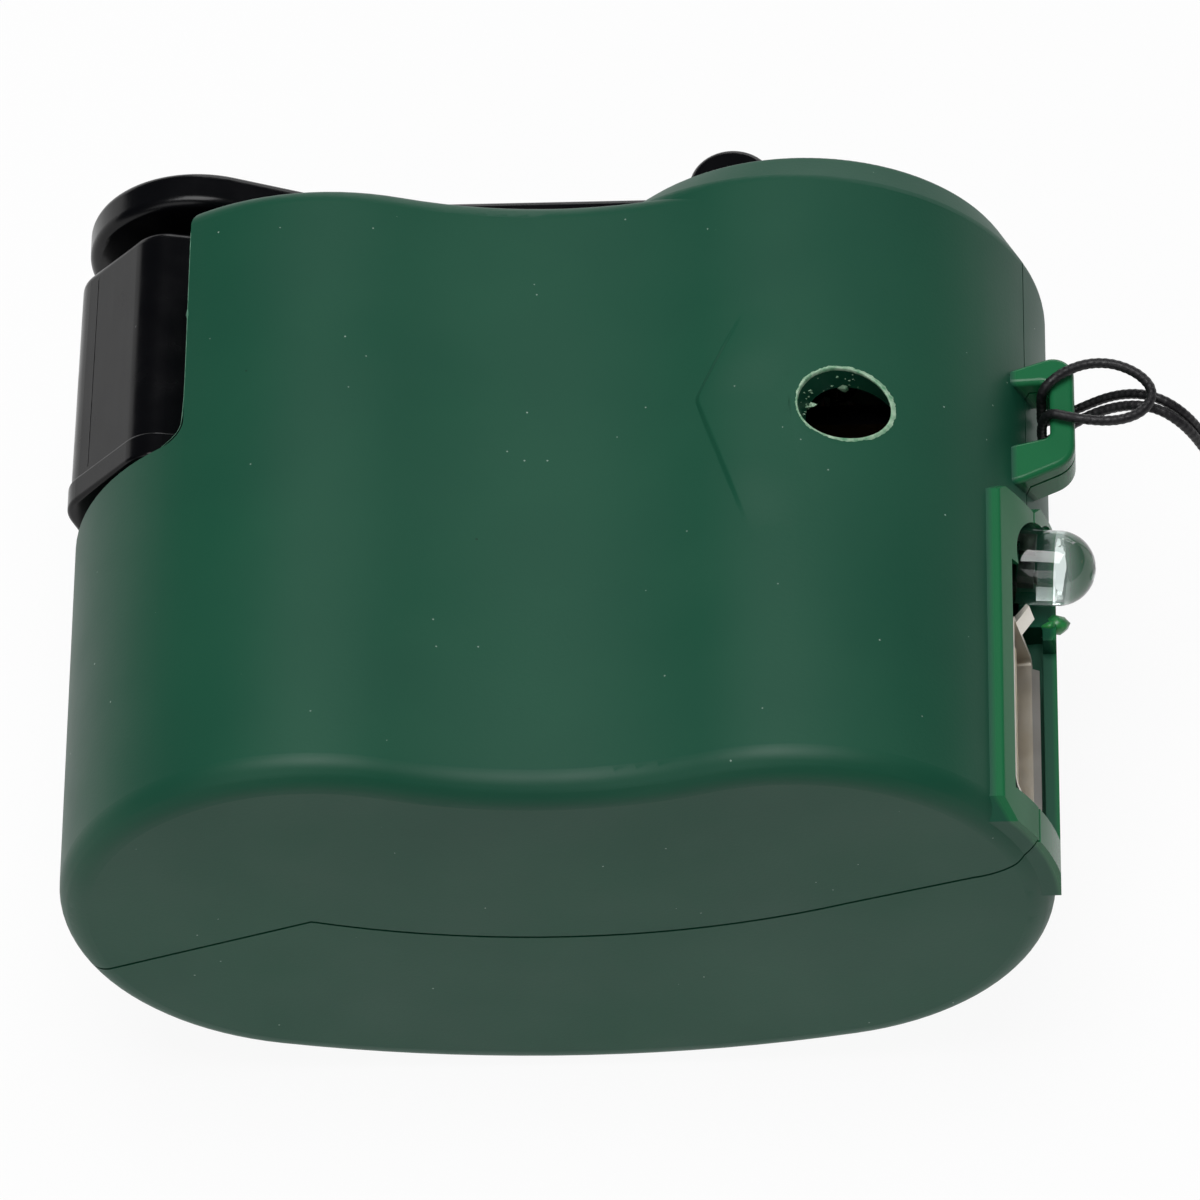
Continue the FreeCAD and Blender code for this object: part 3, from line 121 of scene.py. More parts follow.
def per_mm(size):
    """The scale of a texture whose cells are this many millimetres across."""
    return 1000.0 / size


def cloud(tree, coords, size, low, high, detail=3.0):
    """Slow noise that runs from low to high."""
    grain = add(tree, "ShaderNodeTexNoise", {"Vector": coords, "Scale": per_mm(size), "Detail": detail})
    return add(tree, "ShaderNodeMapRange", {
        "Value": grain.outputs["Fac"], "From Min": 0.3, "From Max": 0.7,
        "To Min": low, "To Max": high}).outputs["Result"]


def flecks(tree, coords, spacing, radius, share, stretch=None, turn=0.0):
    """1 inside small scattered marks of that radius in millimetres, and 0 elsewhere."""
    if stretch:
        coords = add(tree, "ShaderNodeMapping", {
            "Vector": coords, "Rotation": (0.0, 0.0, turn), "Scale": stretch}).outputs["Vector"]
    cells = add(tree, "ShaderNodeTexVoronoi", {"Vector": coords, "Scale": per_mm(spacing)})
    near = add(tree, "ShaderNodeMath", {0: cells.outputs["Distance"], 1: radius / spacing},
               operation="LESS_THAN").outputs[0]
    pick = add(tree, "ShaderNodeSeparateColor", {"Color": cells.outputs["Color"]}).outputs["Red"]
    chosen = add(tree, "ShaderNodeMath", {0: pick, 1: share}, operation="LESS_THAN").outputs[0]
    return add(tree, "ShaderNodeMath", {0: near, 1: chosen}, operation="MULTIPLY").outputs[0]


def either(tree, first, second):
    """The larger of two values."""
    return add(tree, "ShaderNodeMath", {0: first, 1: second}, operation="MAXIMUM").outputs[0]


def mixed(tree, share, first, second):
    return add(tree, "ShaderNodeMix", {"Factor": share, "A": first, "B": second},
               data_type="RGBA").outputs["Result"]


def bumped(tree, height, strength, depth_mm):
    return add(tree, "ShaderNodeBump", {
        "Height": height, "Strength": strength, "Distance": depth_mm * MM}).outputs["Normal"]


# ------------------------------------------------------------------ finishes
def green_abs():
    """Injection moulded ABS from an eroded mould: satin, with dust in the skin and painted shade in its
    tiny pits.
    The port frame and the eye come from a polished insert, so they are smoother and clearer."""
    look = bpy.context.scene.charger_finish

    def make(tree, coords):
        parts = add(tree, "ShaderNodeSeparateXYZ", {"Vector": coords}).outputs
        middle = at(LOBE_X, 38.5, LOBE_Z)
        across = add(tree, "ShaderNodeMath", {0: parts["X"], 1: middle.x},
                     operation="SUBTRACT").outputs[0]
        up = add(tree, "ShaderNodeMath", {0: parts["Z"], 1: middle.z},
                 operation="SUBTRACT").outputs[0]
        flat = add(tree, "ShaderNodeCombineXYZ", {"X": across, "Y": up}).outputs[0]
        reach = add(tree, "ShaderNodeVectorMath", {0: flat}, operation="LENGTH").outputs["Value"]
        proud = add(tree, "ShaderNodeMapRange", {
            "Value": reach, "From Min": (LOBE_RADIUS + 0.05) * MM,
            "From Max": (LOBE_RADIUS + 0.35) * MM}).outputs["Result"]
        side = add(tree, "ShaderNodeMath", {0: across, 1: 8 * MM}, operation="GREATER_THAN").outputs[0]
        low = add(tree, "ShaderNodeMath", {0: parts["Y"], 1: middle.y}, operation="LESS_THAN").outputs[0]
        fitting = add(tree, "ShaderNodeMath", {0: side, 1: low}, operation="MULTIPLY").outputs[0]
        fitting = add(tree, "ShaderNodeMath", {0: fitting, 1: proud}, operation="MULTIPLY").outputs[0]
        dark = mixed(tree, cloud(tree, coords, 14.0, 0.0, 1.0),
                     look.case_colour[:] + (1.0,), linear("#17513b"))
        colour = mixed(tree, fitting, dark, look.fitting_colour[:] + (1.0,))
        # painted shade: small dark green flecks stand for the shade inside tiny pits of the eroded skin
        pit_shade = flecks(tree, coords, 3.1, 0.09, 0.3)
        pit_shade = add(tree, "ShaderNodeMath", {0: pit_shade, 1: 0.6}, operation="MULTIPLY").outputs[0]
        colour = mixed(tree, pit_shade, colour, linear("#0b2a1c"))
        dust = flecks(tree, coords, 1.5, 0.06, 0.46)
        scratch = flecks(tree, coords, 2.6, 0.03, 0.16, (1.0, 0.1, 1.0), 0.5)
        marks = either(tree, dust, scratch)
        strewn = cloud(tree, coords, 6.0, 0.15, 0.8)
        marks = add(tree, "ShaderNodeMath", {0: marks, 1: strewn}, operation="MULTIPLY").outputs[0]
        colour = mixed(tree, marks, colour, linear("#b9ccbf"))
        skin = cloud(tree, coords, 9.0, 0.44, 0.52)
        rough = add(tree, "ShaderNodeMix", {
            "Factor": fitting, "A": skin, "B": 0.27}, data_type="FLOAT").outputs["Result"]
        grain = add(tree, "ShaderNodeTexNoise", {
            "Vector": coords, "Scale": per_mm(0.22), "Detail": 2.0}).outputs["Fac"]
        level = add(tree, "ShaderNodeMapRange", {
            "Value": fitting, "To Min": 1.0, "To Max": 0.25}).outputs["Result"]
        grain = add(tree, "ShaderNodeMath", {0: grain, 1: level}, operation="MULTIPLY").outputs[0]
        return {"Base Color": colour, "Roughness": rough,
                "Normal": bumped(tree, grain, 0.35, 0.02)}
    return finish("green ABS, eroded mould satin", {"IOR": 1.53, "Specular IOR Level": 0.24}, make)


def torn_abs():
    """The same ABS where a drill or a knife tore it: stretched thin, so it has gone pale."""
    def make(tree, coords):
        colour = mixed(tree, cloud(tree, coords, 0.5, 0.0, 1.0), linear("#5d9a72"), linear("#b9d4b8"))
        return {"Base Color": colour,
                "Normal": bumped(tree, cloud(tree, coords, 0.12, 0.0, 1.0), 0.6, 0.03)}
    return finish("green ABS, torn edge", {"Roughness": 0.5, "IOR": 1.53}, make)


def edge_highlight_abs():
    """The same ABS painted paler than the skin, as a highlight along a lit edge, and a little duller."""
    def make(tree, coords):
        # painted highlight: the pale greens stand for light caught along an edge
        return {"Base Color": mixed(tree, cloud(tree, coords, 0.6, 0.0, 1.0),
                                    linear("#2f6a50"), linear("#6f9c85"))}
    return finish("green ABS, painted edge highlight", {"Roughness": 0.45, "IOR": 1.53}, make)


def flash_abs():
    """Thin moulding flash of the same ABS, which lets light through and looks a clear green."""
    def make(tree, coords):
        colour = mixed(tree, cloud(tree, coords, 0.8, 0.0, 1.0), linear("#1d7a3d"), linear("#3fa45a"))
        return {"Base Color": colour}
    return finish("green ABS, thin flash", {
        "Roughness": 0.3, "IOR": 1.53, "Subsurface Weight": 0.3, "Subsurface Scale": 0.001}, make)


def black_abs():
    """Moulded from a polished steel mould: glossy, with faint flow lines along each piece."""
    look = bpy.context.scene.charger_finish

    def make(tree, coords):
        drawn = add(tree, "ShaderNodeMapping", {
            "Vector": coords, "Scale": (1.0, 0.12, 1.0)}).outputs["Vector"]
        flow = cloud(tree, drawn, 1.6, 0.0, 1.0)
        dust = flecks(tree, coords, 2.0, 0.06, 0.5)
        dust = add(tree, "ShaderNodeMath", {0: dust, 1: 0.35}, operation="MULTIPLY").outputs[0]
        colour = mixed(tree, dust, look.crank_colour[:] + (1.0,), linear("#8a8a90"))
        scuff = cloud(tree, coords, 3.0, 0.17, 0.28)
        return {"Base Color": colour, "Roughness": scuff,
                "Normal": bumped(tree, flow, 0.25, 0.02)}
    return finish("black ABS, polished mould gloss", {"IOR": 1.53, "Specular IOR Level": 0.2}, make)


def zinc_steel():
    """Turned steel, zinc plated: pale grey with a faint turning grain."""
    def make(tree, coords):
        return {"Base Color": mixed(tree, cloud(tree, coords, 1.5, 0.0, 1.0),
                                    linear("#a9abad"), linear("#c6c7c5")),
                "Roughness": cloud(tree, coords, 0.6, 0.25, 0.4),
                "Normal": bumped(tree, cloud(tree, coords, 0.15, 0.0, 1.0), 0.2, 0.01)}
    return finish("steel, turned and zinc plated", {"Metallic": 1.0}, make)


def nickel_steel():
    """Stamped sheet steel, nickel plated: bright and warm, with a soft satin from the rolls."""
    def make(tree, coords):
        return {"Base Color": mixed(tree, cloud(tree, coords, 4.0, 0.0, 1.0),
                                    linear("#cbc5ba"), linear("#dcd8d0")),
                "Roughness": cloud(tree, coords, 1.2, 0.36, 0.44)}
    return finish("steel sheet, stamped and nickel plated", {"Metallic": 1.0}, make)


def turned_brass():
    """Brass from an automatic lathe: warm yellow, with fine turning rings."""
    def make(tree, coords):
        return {"Base Color": mixed(tree, cloud(tree, coords, 2.0, 0.0, 1.0),
                                    linear("#b48a45"), linear("#d0a85e")),
                "Roughness": cloud(tree, coords, 0.5, 0.22, 0.38)}
    return finish("brass, turned", {"Metallic": 1.0}, make)


def white_acetal():
    """Moulded acetal: a waxy, slightly translucent white."""
    def make(tree, coords):
        return {"Base Color": mixed(tree, cloud(tree, coords, 4.0, 0.0, 1.0),
                                    linear("#dedbd0"), linear("#ece9df")),
                "Roughness": cloud(tree, coords, 1.2, 0.34, 0.46)}
    return finish("acetal, moulded", {
        "IOR": 1.48, "Subsurface Weight": 0.15, "Subsurface Scale": 0.001}, make)


def ground_ferrite():
    """Sintered and ground ferrite: dull dark grey with a fine grain."""
    def make(tree, coords):
        return {"Base Color": mixed(tree, cloud(tree, coords, 0.5, 0.0, 1.0),
                                    linear("#2b2b2d"), linear("#424144")),
                "Normal": bumped(tree, cloud(tree, coords, 0.15, 0.0, 1.0), 0.4, 0.02)}
    return finish("ferrite, sintered and ground", {"Roughness": 0.7}, make)


def laminated_core():
    """A stack of punched steel sheets, 0.5 mm each, with a green insulating coat."""
    def make(tree, coords):
        sheets = add(tree, "ShaderNodeTexWave", {"Vector": coords, "Scale": per_mm(0.5) / 20},
                     bands_direction="Y").outputs["Fac"]
        return {"Base Color": mixed(tree, sheets, linear("#4f5a4a"), linear("#8b8c86")),
                "Normal": bumped(tree, sheets, 0.5, 0.05)}
    return finish("steel, punched and stacked", {"Metallic": 0.6, "Roughness": 0.45}, make)


def board_laminate():
    """Paper laminate board with a lacquered face: amber brown with darker fibres."""
    def make(tree, coords):
        fibre = add(tree, "ShaderNodeMapping", {
            "Vector": coords, "Scale": (1.0, 0.2, 1.0)}).outputs["Vector"]
        return {"Base Color": mixed(tree, cloud(tree, fibre, 0.6, 0.0, 1.0),
                                    linear("#8a6a35"), linear("#a98749"))}
    return finish("paper laminate, lacquered", {"Roughness": 0.4}, make)


def capacitor_sleeve():
    """Shrunk PVC film: dark blue, smooth, drawn tight."""
    def make(tree, coords):
        return {"Base Color": mixed(tree, cloud(tree, coords, 3.0, 0.0, 1.0),
                                    linear("#131c3a"), linear("#1d2a52")),
                "Roughness": cloud(tree, coords, 1.0, 0.25, 0.35)}
    return finish("PVC film, shrunk", {"IOR": 1.53}, make)


def black_epoxy():
    """Transfer moulded epoxy: dull charcoal with a fine matt grain."""
    def make(tree, coords):
        return {"Base Color": mixed(tree, cloud(tree, coords, 0.8, 0.0, 1.0),
                                    linear("#1a1a1c"), linear("#2a2a2c")),
                "Normal": bumped(tree, cloud(tree, coords, 0.1, 0.0, 1.0), 0.3, 0.01)}
    return finish("epoxy, transfer moulded", {"Roughness": 0.62}, make)


def cream_nylon():
    """Moulded glass filled nylon: warm cream with faint flow marks."""
    def make(tree, coords):
        return {"Base Color": mixed(tree, cloud(tree, coords, 2.0, 0.0, 1.0),
                                    linear("#ddcba6"), linear("#f0e4c8")),
                "Roughness": cloud(tree, coords, 1.0, 0.38, 0.5)}
    return finish("nylon, moulded cream", {"IOR": 1.53}, make)


def gold_flash():
    """Phosphor bronze with a thin gold flash: warm, bright and smooth."""
    def make(tree, coords):
        return {"Base Color": mixed(tree, cloud(tree, coords, 1.0, 0.0, 1.0),
                                    linear("#c79a4b"), linear("#e2bd6e"))}
    return finish("bronze, gold flashed", {"Metallic": 1.0, "Roughness": 0.22}, make)


def clear_epoxy():
    """Cast clear epoxy: water clear, glossy, a little wavy from its mould."""
    def make(tree, coords):
        return {"Normal": bumped(tree, cloud(tree, coords, 1.6, 0.0, 1.0), 0.12, 0.05)}
    return finish("epoxy, cast clear", {
        "Base Color": linear("#dde9e6"), "Roughness": 0.02, "IOR": 1.54,
        "Transmission Weight": 1.0}, make)


def shaded_silver_frame():
    """Stamped copper frame with a silver plate, painted a dull dark grey as the shade inside the lamp,
    seen through the clear lens.
    """
    def make(tree, coords):
        # painted shade: the silver is darkened to the dim grey of the lamp's shaded inside
        return {"Base Color": mixed(tree, cloud(tree, coords, 0.6, 0.0, 1.0),
                                    linear("#363b37"), linear("#5a5f59")),
                "Roughness": cloud(tree, coords, 0.3, 0.3, 0.45)}
    return finish("copper, silver plated, painted shade", {"Metallic": 1.0}, make)


def phosphor():
    """Silicone with yellow phosphor, dabbed over the lamp's chip."""
    def make(tree, coords):
        return {"Base Color": mixed(tree, cloud(tree, coords, 0.2, 0.0, 1.0),
                                    linear("#e3c93a"), linear("#f1e07a"))}
    return finish("silicone with phosphor", {"Roughness": 0.5}, make)


def wire_sleeve():
    """Extruded PVC round a stranded wire: red, smooth and a little waxy."""
    def make(tree, coords):
        return {"Base Color": mixed(tree, cloud(tree, coords, 1.5, 0.0, 1.0),
                                    linear("#8f1717"), linear("#a92020")),
                "Roughness": cloud(tree, coords, 0.8, 0.3, 0.42)}
    return finish("PVC, extruded red", {"IOR": 1.53}, make)


def waxed_cord():
    """Braided polyester soaked in wax: black, with soft glints on the crowns of the braid."""
    look = bpy.context.scene.charger_finish

    def make(tree, coords):
        fuzz = cloud(tree, coords, 0.16, 0.0, 1.0)
        colour = mixed(tree, fuzz, look.cord_colour[:] + (1.0,), linear("#1b191c"))
        return {"Base Color": colour, "Roughness": cloud(tree, coords, 0.4, 0.38, 0.62),
                "Normal": bumped(tree, fuzz, 0.4, 0.02)}
    return finish("polyester braid, waxed black", {"IOR": 1.45}, make)


# ------------------------------------------------------------------ meshes
def piece(name, points, faces, body, material, smooth=True):
    """A new piece from points in metres, riding on a body."""
    mesh = bpy.data.meshes.new(name)
    mesh.from_pydata([tuple(p) for p in points], [], faces)
    mesh.validate()
    bm = bmesh.new()
    bm.from_mesh(mesh)
    bmesh.ops.recalc_face_normals(bm, faces=bm.faces)
    bm.to_mesh(mesh)
    bm.free()
    mesh.polygons.foreach_set("use_smooth", [smooth] * len(mesh.polygons))
    mesh.materials.append(material)
    thing = bpy.data.objects.new(name, mesh)
    bpy.context.scene.collection.objects.link(thing)
    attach(thing, body)
    return thing


def joined_loops(loops, closed_ends=True, ring=True):
    """The faces between loops of equally many points."""
    count = len(loops[0])
    points = [p for loop in loops for p in loop]
    faces = []
    spans = count if ring else count - 1
    for row in range(len(loops) - 1):
        for step in range(spans):
            a, b = row * count + step, row * count + (step + 1) % count
            faces.append((a, b, b + count, a + count))
    if closed_ends:
        faces.append(tuple(reversed(range(count))))
        faces.append(tuple(range((len(loops) - 1) * count, len(loops) * count)))
    return points, faces


def dress(material, *nodes):
    """Gives CAD nodes their material."""
    for name in nodes:
        thing = NODES[name]
        for slot in thing.material_slots:
            slot.material = material
        if not thing.material_slots:
            raise RuntimeError("the node %s has no material slot" % name)


def hull_scraps(name, middles, material, smooth):
    """Angular scraps, each the hull of its own scattered corners."""
    shapes = bmesh.new()
    for corners in middles:
        bmesh.ops.convex_hull(shapes, input=[shapes.verts.new(at(*corner)) for corner in corners])
    loose = [v for v in shapes.verts if not v.link_faces]
    bmesh.ops.delete(shapes, geom=loose, context="VERTS")
    shapes.verts.index_update()
    points = [v.co.copy() for v in shapes.verts]
    faces = [tuple(v.index for v in f.verts) for f in shapes.faces]
    shapes.free()
    return piece(name, points, faces, "case", material, smooth=smooth)


def scattered(pick):
    """A random direction of length 1."""
    return Vector((pick.gauss(0, 1), pick.gauss(0, 1), pick.gauss(0, 1))).normalized()


def front_height(x):
    """How high the waved front stands over the floor at that place across the case."""
    rise = LOBE_RADIUS - WAIST_DIP
    waist = (LOBE_X ** 2 + rise ** 2 - LOBE_RADIUS ** 2) / (2 * WAIST_DIP)
    turn = LOBE_X - LOBE_RADIUS * LOBE_X / (waist + LOBE_RADIUS)
    if abs(x) < turn:
        return LOBE_Z + rise + waist - math.sqrt(waist ** 2 - x ** 2)
    return LOBE_Z + math.sqrt(max(0.0, LOBE_RADIUS ** 2 - (abs(x) - LOBE_X) ** 2))


# ------------------------------------------------------------------ cords
def cord_line(name, points, step_mm=0.1):
    """Evenly spaced points along the smooth spline through a cord's route."""
    curve = bpy.data.curves.new(name, "CURVE")
    curve.dimensions = "3D"
    spline = curve.splines.new("NURBS")
    spline.points.add(len(points) - 1)
    for place, point in zip(spline.points, points):
        place.co = (*point, 1.0)
    spline.order_u = 3
    spline.use_endpoint_u = True
    spline.resolution_u = 12
    holder = bpy.data.objects.new(name, curve)
    bpy.context.scene.collection.objects.link(holder)
    mesh = bpy.data.meshes.new_from_object(holder)
    raw = [v.co.copy() for v in mesh.vertices]
    bpy.data.objects.remove(holder)
    bpy.data.curves.remove(curve)
    bpy.data.meshes.remove(mesh)
    reach = [0.0]
    for a, b in zip(raw, raw[1:]):
        reach.append(reach[-1] + (b - a).length)
    count = max(2, round(reach[-1] / (step_mm * MM)))
    line, index = [], 0
    for number in range(count + 1):
        goal = reach[-1] * number / count
        while index < len(raw) - 2 and reach[index + 1] < goal:
            index += 1
        span = max(reach[index + 1] - reach[index], 1e-12)
        line.append(raw[index].lerp(raw[index + 1], (goal - reach[index]) / span))
    return line, reach[-1]


def braided_tube(name, line, radius, body, material, around=16):
    """A round braid along a line: eight plaits that cross over and under."""
    side = Vector((0.0, 0.0, 1.0))
    loops, run = [], 0.0
    for index, point in enumerate(line):
        before, after = line[max(0, index - 1)], line[min(len(line) - 1, index + 1)]
        along = (after - before).normalized()
        side = (side - along * side.dot(along)).normalized()
        other = along.cross(side)
        if index:
            run += (point - line[index - 1]).length
        loop = []
        for number in range(around):
            angle = 2 * math.pi * number / around
            weave = math.sin(4 * angle + run / MM * 7.0) * math.sin(4 * angle - run / MM * 7.0)
            size = radius * (0.925 + 0.075 * weave)
            loop.append(point + (side * math.cos(angle) + other * math.sin(angle)) * size)
        loops.append(loop)
    points, faces = joined_loops(loops)
    return piece(name, points, faces, body, material)


HITCH = [(32.1, 32.8, 25.4), (32.1, 32.8, 28.2), (34.4, 32.0, 28.25), (37.0, 31.8, 28.1),
         (38.9, 32.6, 28.05), (39.6, 34.2, 28.05), (38.6, 35.7, 28.1), (36.6, 36.6, 28.2),
         (34.3, 36.3, 28.25), (32.1, 34.6, 28.2)]
TAIL_ONE = [(32.1, 34.55, 25.4), (32.1, 34.55, 23.9), (34.6, 35.9, 23.9), (37.0, 36.0, 25.3),
            (39.3, 35.2, 26.4), (41.4, 34.4, 25.6), (43.1, 34.1, 22.6), (44.9, 33.9, 17.2),
            (47.6, 33.2, 10.4), (50.9, 31.9, 4.9), (54.6, 29.9, 1.4), (58.6, 28.1, 0.5),
            (61.5, 27.3, 0.45), (64.4, 26.9, 0.45)]
TAIL_TWO = [(32.1, 32.8, 25.4), (32.1, 32.8, 23.9), (34.2, 34.75, 23.9), (36.7, 35.05, 25.2),
            (39.2, 34.4, 26.3), (41.3, 33.6, 25.5), (43.0, 33.3, 22.5), (44.8, 33.1, 17.1),
            (47.5, 32.4, 10.3), (50.8, 31.1, 4.85), (54.5, 29.1, 1.35), (58.5, 27.3, 0.5),
            (61.4, 26.5, 0.45), (64.4, 26.05, 0.45)]
COIL_MIDDLE = Vector((68.5, 31.2, 0.0))
KNOT_MIDDLE = Vector((63.2, 35.2, 1.2))


def coil_turns(outside):
    """One strand of the put-away pair: outer turn, inner turn, then back on top of them."""
    turns = []
    for step in range(0, 45):
        share = step / 13.0
        inward = smooth_step(0.84, 1.0, share)
        outward = smooth_step(2.5, 2.68, share)
        reach = 4.95 - 1.5 * inward + 1.5 * outward + (0.37 if outside else -0.37)
        height = 0.37 + 0.72 * smooth_step(1.62, 1.82, share)
        angle = -math.pi / 2 + 2 * math.pi * share
        if share > 3.28:
            break
        turns.append(tuple(COIL_MIDDLE + Vector((
            reach * math.cos(angle), reach * math.sin(angle), height))))
    return turns


# ------------------------------------------------------------------ properties
class ChargerFinish(bpy.types.PropertyGroup):
    """Colours that a maker would change."""
    case_colour: FloatVectorProperty(
        name="Case", description="Satin plastic of the two case halves", subtype="COLOR",
        size=3, min=0.0, max=1.0, default=linear("#134c38")[:3])
    fitting_colour: FloatVectorProperty(
        name="Port frame and eye", description="Smoother plastic round the socket and the eye",
        subtype="COLOR", size=3, min=0.0, max=1.0, default=linear("#1f6b42")[:3])
    crank_colour: FloatVectorProperty(
        name="Crank", description="Gloss plastic of the arm, hub and grip", subtype="COLOR",
        size=3, min=0.0, max=1.0, default=linear("#060608")[:3])
    cord_colour: FloatVectorProperty(
        name="Lanyard", description="Waxed braid of the lanyard", subtype="COLOR",
        size=3, min=0.0, max=1.0, default=linear("#08080a")[:3])


class ChargerSizes(bpy.types.PropertyGroup):
    """Sizes of the small details."""
    cord_width: FloatProperty(
        name="Lanyard width", description="Diameter of the lanyard's cord", unit="LENGTH",
        min=0.0004, max=0.002, default=0.0007)
    swell_height: FloatProperty(
        name="Front crease", description="How far the crease on the front stands out",
        unit="LENGTH", min=0.0, max=0.0005, default=0.00018)
    burr_height: FloatProperty(
        name="Hole burr", description="How far the drilled hole's burr stands out",
        unit="LENGTH", min=0.0, max=0.0005, default=0.00014)
    crumb_count: IntProperty(
        name="Hole crumbs", description="How many drilling crumbs stick in the hole",
        min=0, max=60, default=22)


# ------------------------------------------------------------------ operators
FLOOR_RADII = (0.02, 0.06, 0.11)
FLOOR_DROP = -2e-5
FLOOR_GLOW = 0.93
LAMP_AIM = Vector((0.0, 0.0, 0.02))
CAMERA_TILT = math.radians(56.0)
CAMERA_TURN = math.radians(4.814)
CAMERA_ROLL = math.radians(5.137)
CAMERA_AIM = (5.201, -6.488, 65.248)
CAMERA_DISTANCE = 0.587
CAMERA_LENS = 290.4


class CHARGER_OT_stage(bpy.types.Operator):
    """Sets the pale floor, the white surround under a dim ceiling, the soft lights and the camera"""
    bl_idname = "charger.stage"
    bl_label = "Stage"

    def execute(self, context):
        scene = context.scene
        self.floor(scene)
        self.surround(scene)
        self.lamps(scene)
        self.camera(scene)
        scene.view_settings.view_transform = "Standard"
        return {"FINISHED"}

    def floor(self, scene):
        """A round sheet of white paper. It glows white to the camera, to metal and to glass."""
        corners = 48
        angles = [2 * math.pi * k / corners for k in range(corners)]
        points, faces = joined_loops(
            [[Vector((r * math.cos(a), r * math.sin(a), FLOOR_DROP)) for a in angles]
             for r in FLOOR_RADII], closed_ends=False)
        faces.append(tuple(range(corners)))
        mesh = bpy.data.meshes.new("floor")
        mesh.from_pydata([tuple(p) for p in points], [], faces)
        floor = bpy.data.objects.new("floor", mesh)
        scene.collection.objects.link(floor)
        paper = bpy.data.materials.new("paper, matt white")
        paper.use_nodes = True
        tree = paper.node_tree
        tree.nodes.clear()
        path = add(tree, "ShaderNodeLightPath").outputs
        seen = either(tree, path["Is Camera Ray"], path["Is Glossy Ray"])
        seen = either(tree, seen, path["Is Transmission Ray"])
        share = add(tree, "ShaderNodeMath", {0: seen, 1: FLOOR_GLOW}, operation="MULTIPLY").outputs[0]
        matt = add(tree, "ShaderNodeBsdfDiffuse", {"Color": linear("#f2f2f2")}).outputs[0]
        glow = add(tree, "ShaderNodeEmission", {
            "Color": linear("#ffffff"), "Strength": 1.0}).outputs[0]
        both = add(tree, "ShaderNodeMixShader", {0: share, 1: matt, 2: glow}).outputs[0]
        add(tree, "ShaderNodeOutputMaterial", {"Surface": both})
        mesh.materials.append(paper)

    def surround(self, scene):
        """A dim room. The camera and glass see it white, and polished skins see it white
        from the horizon down, under a dim ceiling that keeps dark plastic dark."""
        world = bpy.data.worlds.new("studio")
        scene.world = world
        world.use_nodes = True
        tree = world.node_tree
        tree.nodes.clear()
        path = add(tree, "ShaderNodeLightPath").outputs
        toward = add(tree, "ShaderNodeTexCoord").outputs["Generated"]
        height = add(tree, "ShaderNodeSeparateXYZ", {"Vector": toward}).outputs["Z"]
        low = add(tree, "ShaderNodeMapRange", {
            "Value": height, "From Min": 0.04, "From Max": 0.12,
            "To Min": 1.0, "To Max": 0.0}).outputs[0]
        glossy = add(tree, "ShaderNodeMath", {0: path["Is Glossy Ray"], 1: low},
                     operation="MULTIPLY").outputs[0]
        seen = either(tree, path["Is Camera Ray"], glossy)
        seen = either(tree, seen, path["Is Transmission Ray"])
        room = add(tree, "ShaderNodeBackground", {
            "Color": linear("#e8f0ff"), "Strength": 0.08}).outputs[0]
        white = add(tree, "ShaderNodeBackground", {
            "Color": linear("#ffffff"), "Strength": 1.0}).outputs[0]
        both = add(tree, "ShaderNodeMixShader", {0: seen, 1: room, 2: white}).outputs[0]
        add(tree, "ShaderNodeOutputWorld", {"Surface": both})

    def lamps(self, scene):
        """Each lamp has a direction, a distance, a width, a depth and a power in watts."""
        for name, toward, away, width, depth, power in (
                ("overhead softbox", (-0.05, 0.02, 1.0), 0.8, 0.5, 0.5, 5.2),
                ("front fill", (-0.35, -0.75, 0.6), 1.3, 0.8, 0.6, 2.4),
                ("back strip", (0.25, 0.95, 0.3), 0.9, 0.7, 0.25, 1.6)):
            lamp = bpy.data.lights.new(name, "AREA")
            lamp.shape = "RECTANGLE"
            lamp.size = width
            lamp.size_y = depth
            lamp.energy = power
            holder = bpy.data.objects.new(name, lamp)
            holder.location = Vector(toward).normalized() * away + LAMP_AIM
            holder.rotation_euler = Vector(toward).to_track_quat("Z", "Y").to_euler()
            scene.collection.objects.link(holder)

    def camera(self, scene):
        """Looks down on the plain end, a little from the right and a little rolled."""
        level = Vector((math.sin(CAMERA_TURN), -math.cos(CAMERA_TURN), 0.0))
        back = level * math.cos(CAMERA_TILT) + Vector((0.0, 0.0, math.sin(CAMERA_TILT)))
        right = Vector((math.cos(CAMERA_TURN), math.sin(CAMERA_TURN), 0.0))
        up = back.cross(right)
        axis_x = right * math.cos(CAMERA_ROLL) - up * math.sin(CAMERA_ROLL)
        axis_y = right * math.sin(CAMERA_ROLL) + up * math.cos(CAMERA_ROLL)
        place = at(*CAMERA_AIM) + back * CAMERA_DISTANCE
        data = bpy.data.cameras.new("camera")
        data.sensor_width = 36.0
        data.lens = CAMERA_LENS
        data.clip_start = 0.05
        data.clip_end = 20.0
        camera = bpy.data.objects.new("camera", data)
        facing = Matrix((axis_x, axis_y, back)).transposed()
        camera.matrix_world = Matrix.Translation(place) @ facing.to_4x4()
        scene.collection.objects.link(camera)
        scene.camera = camera


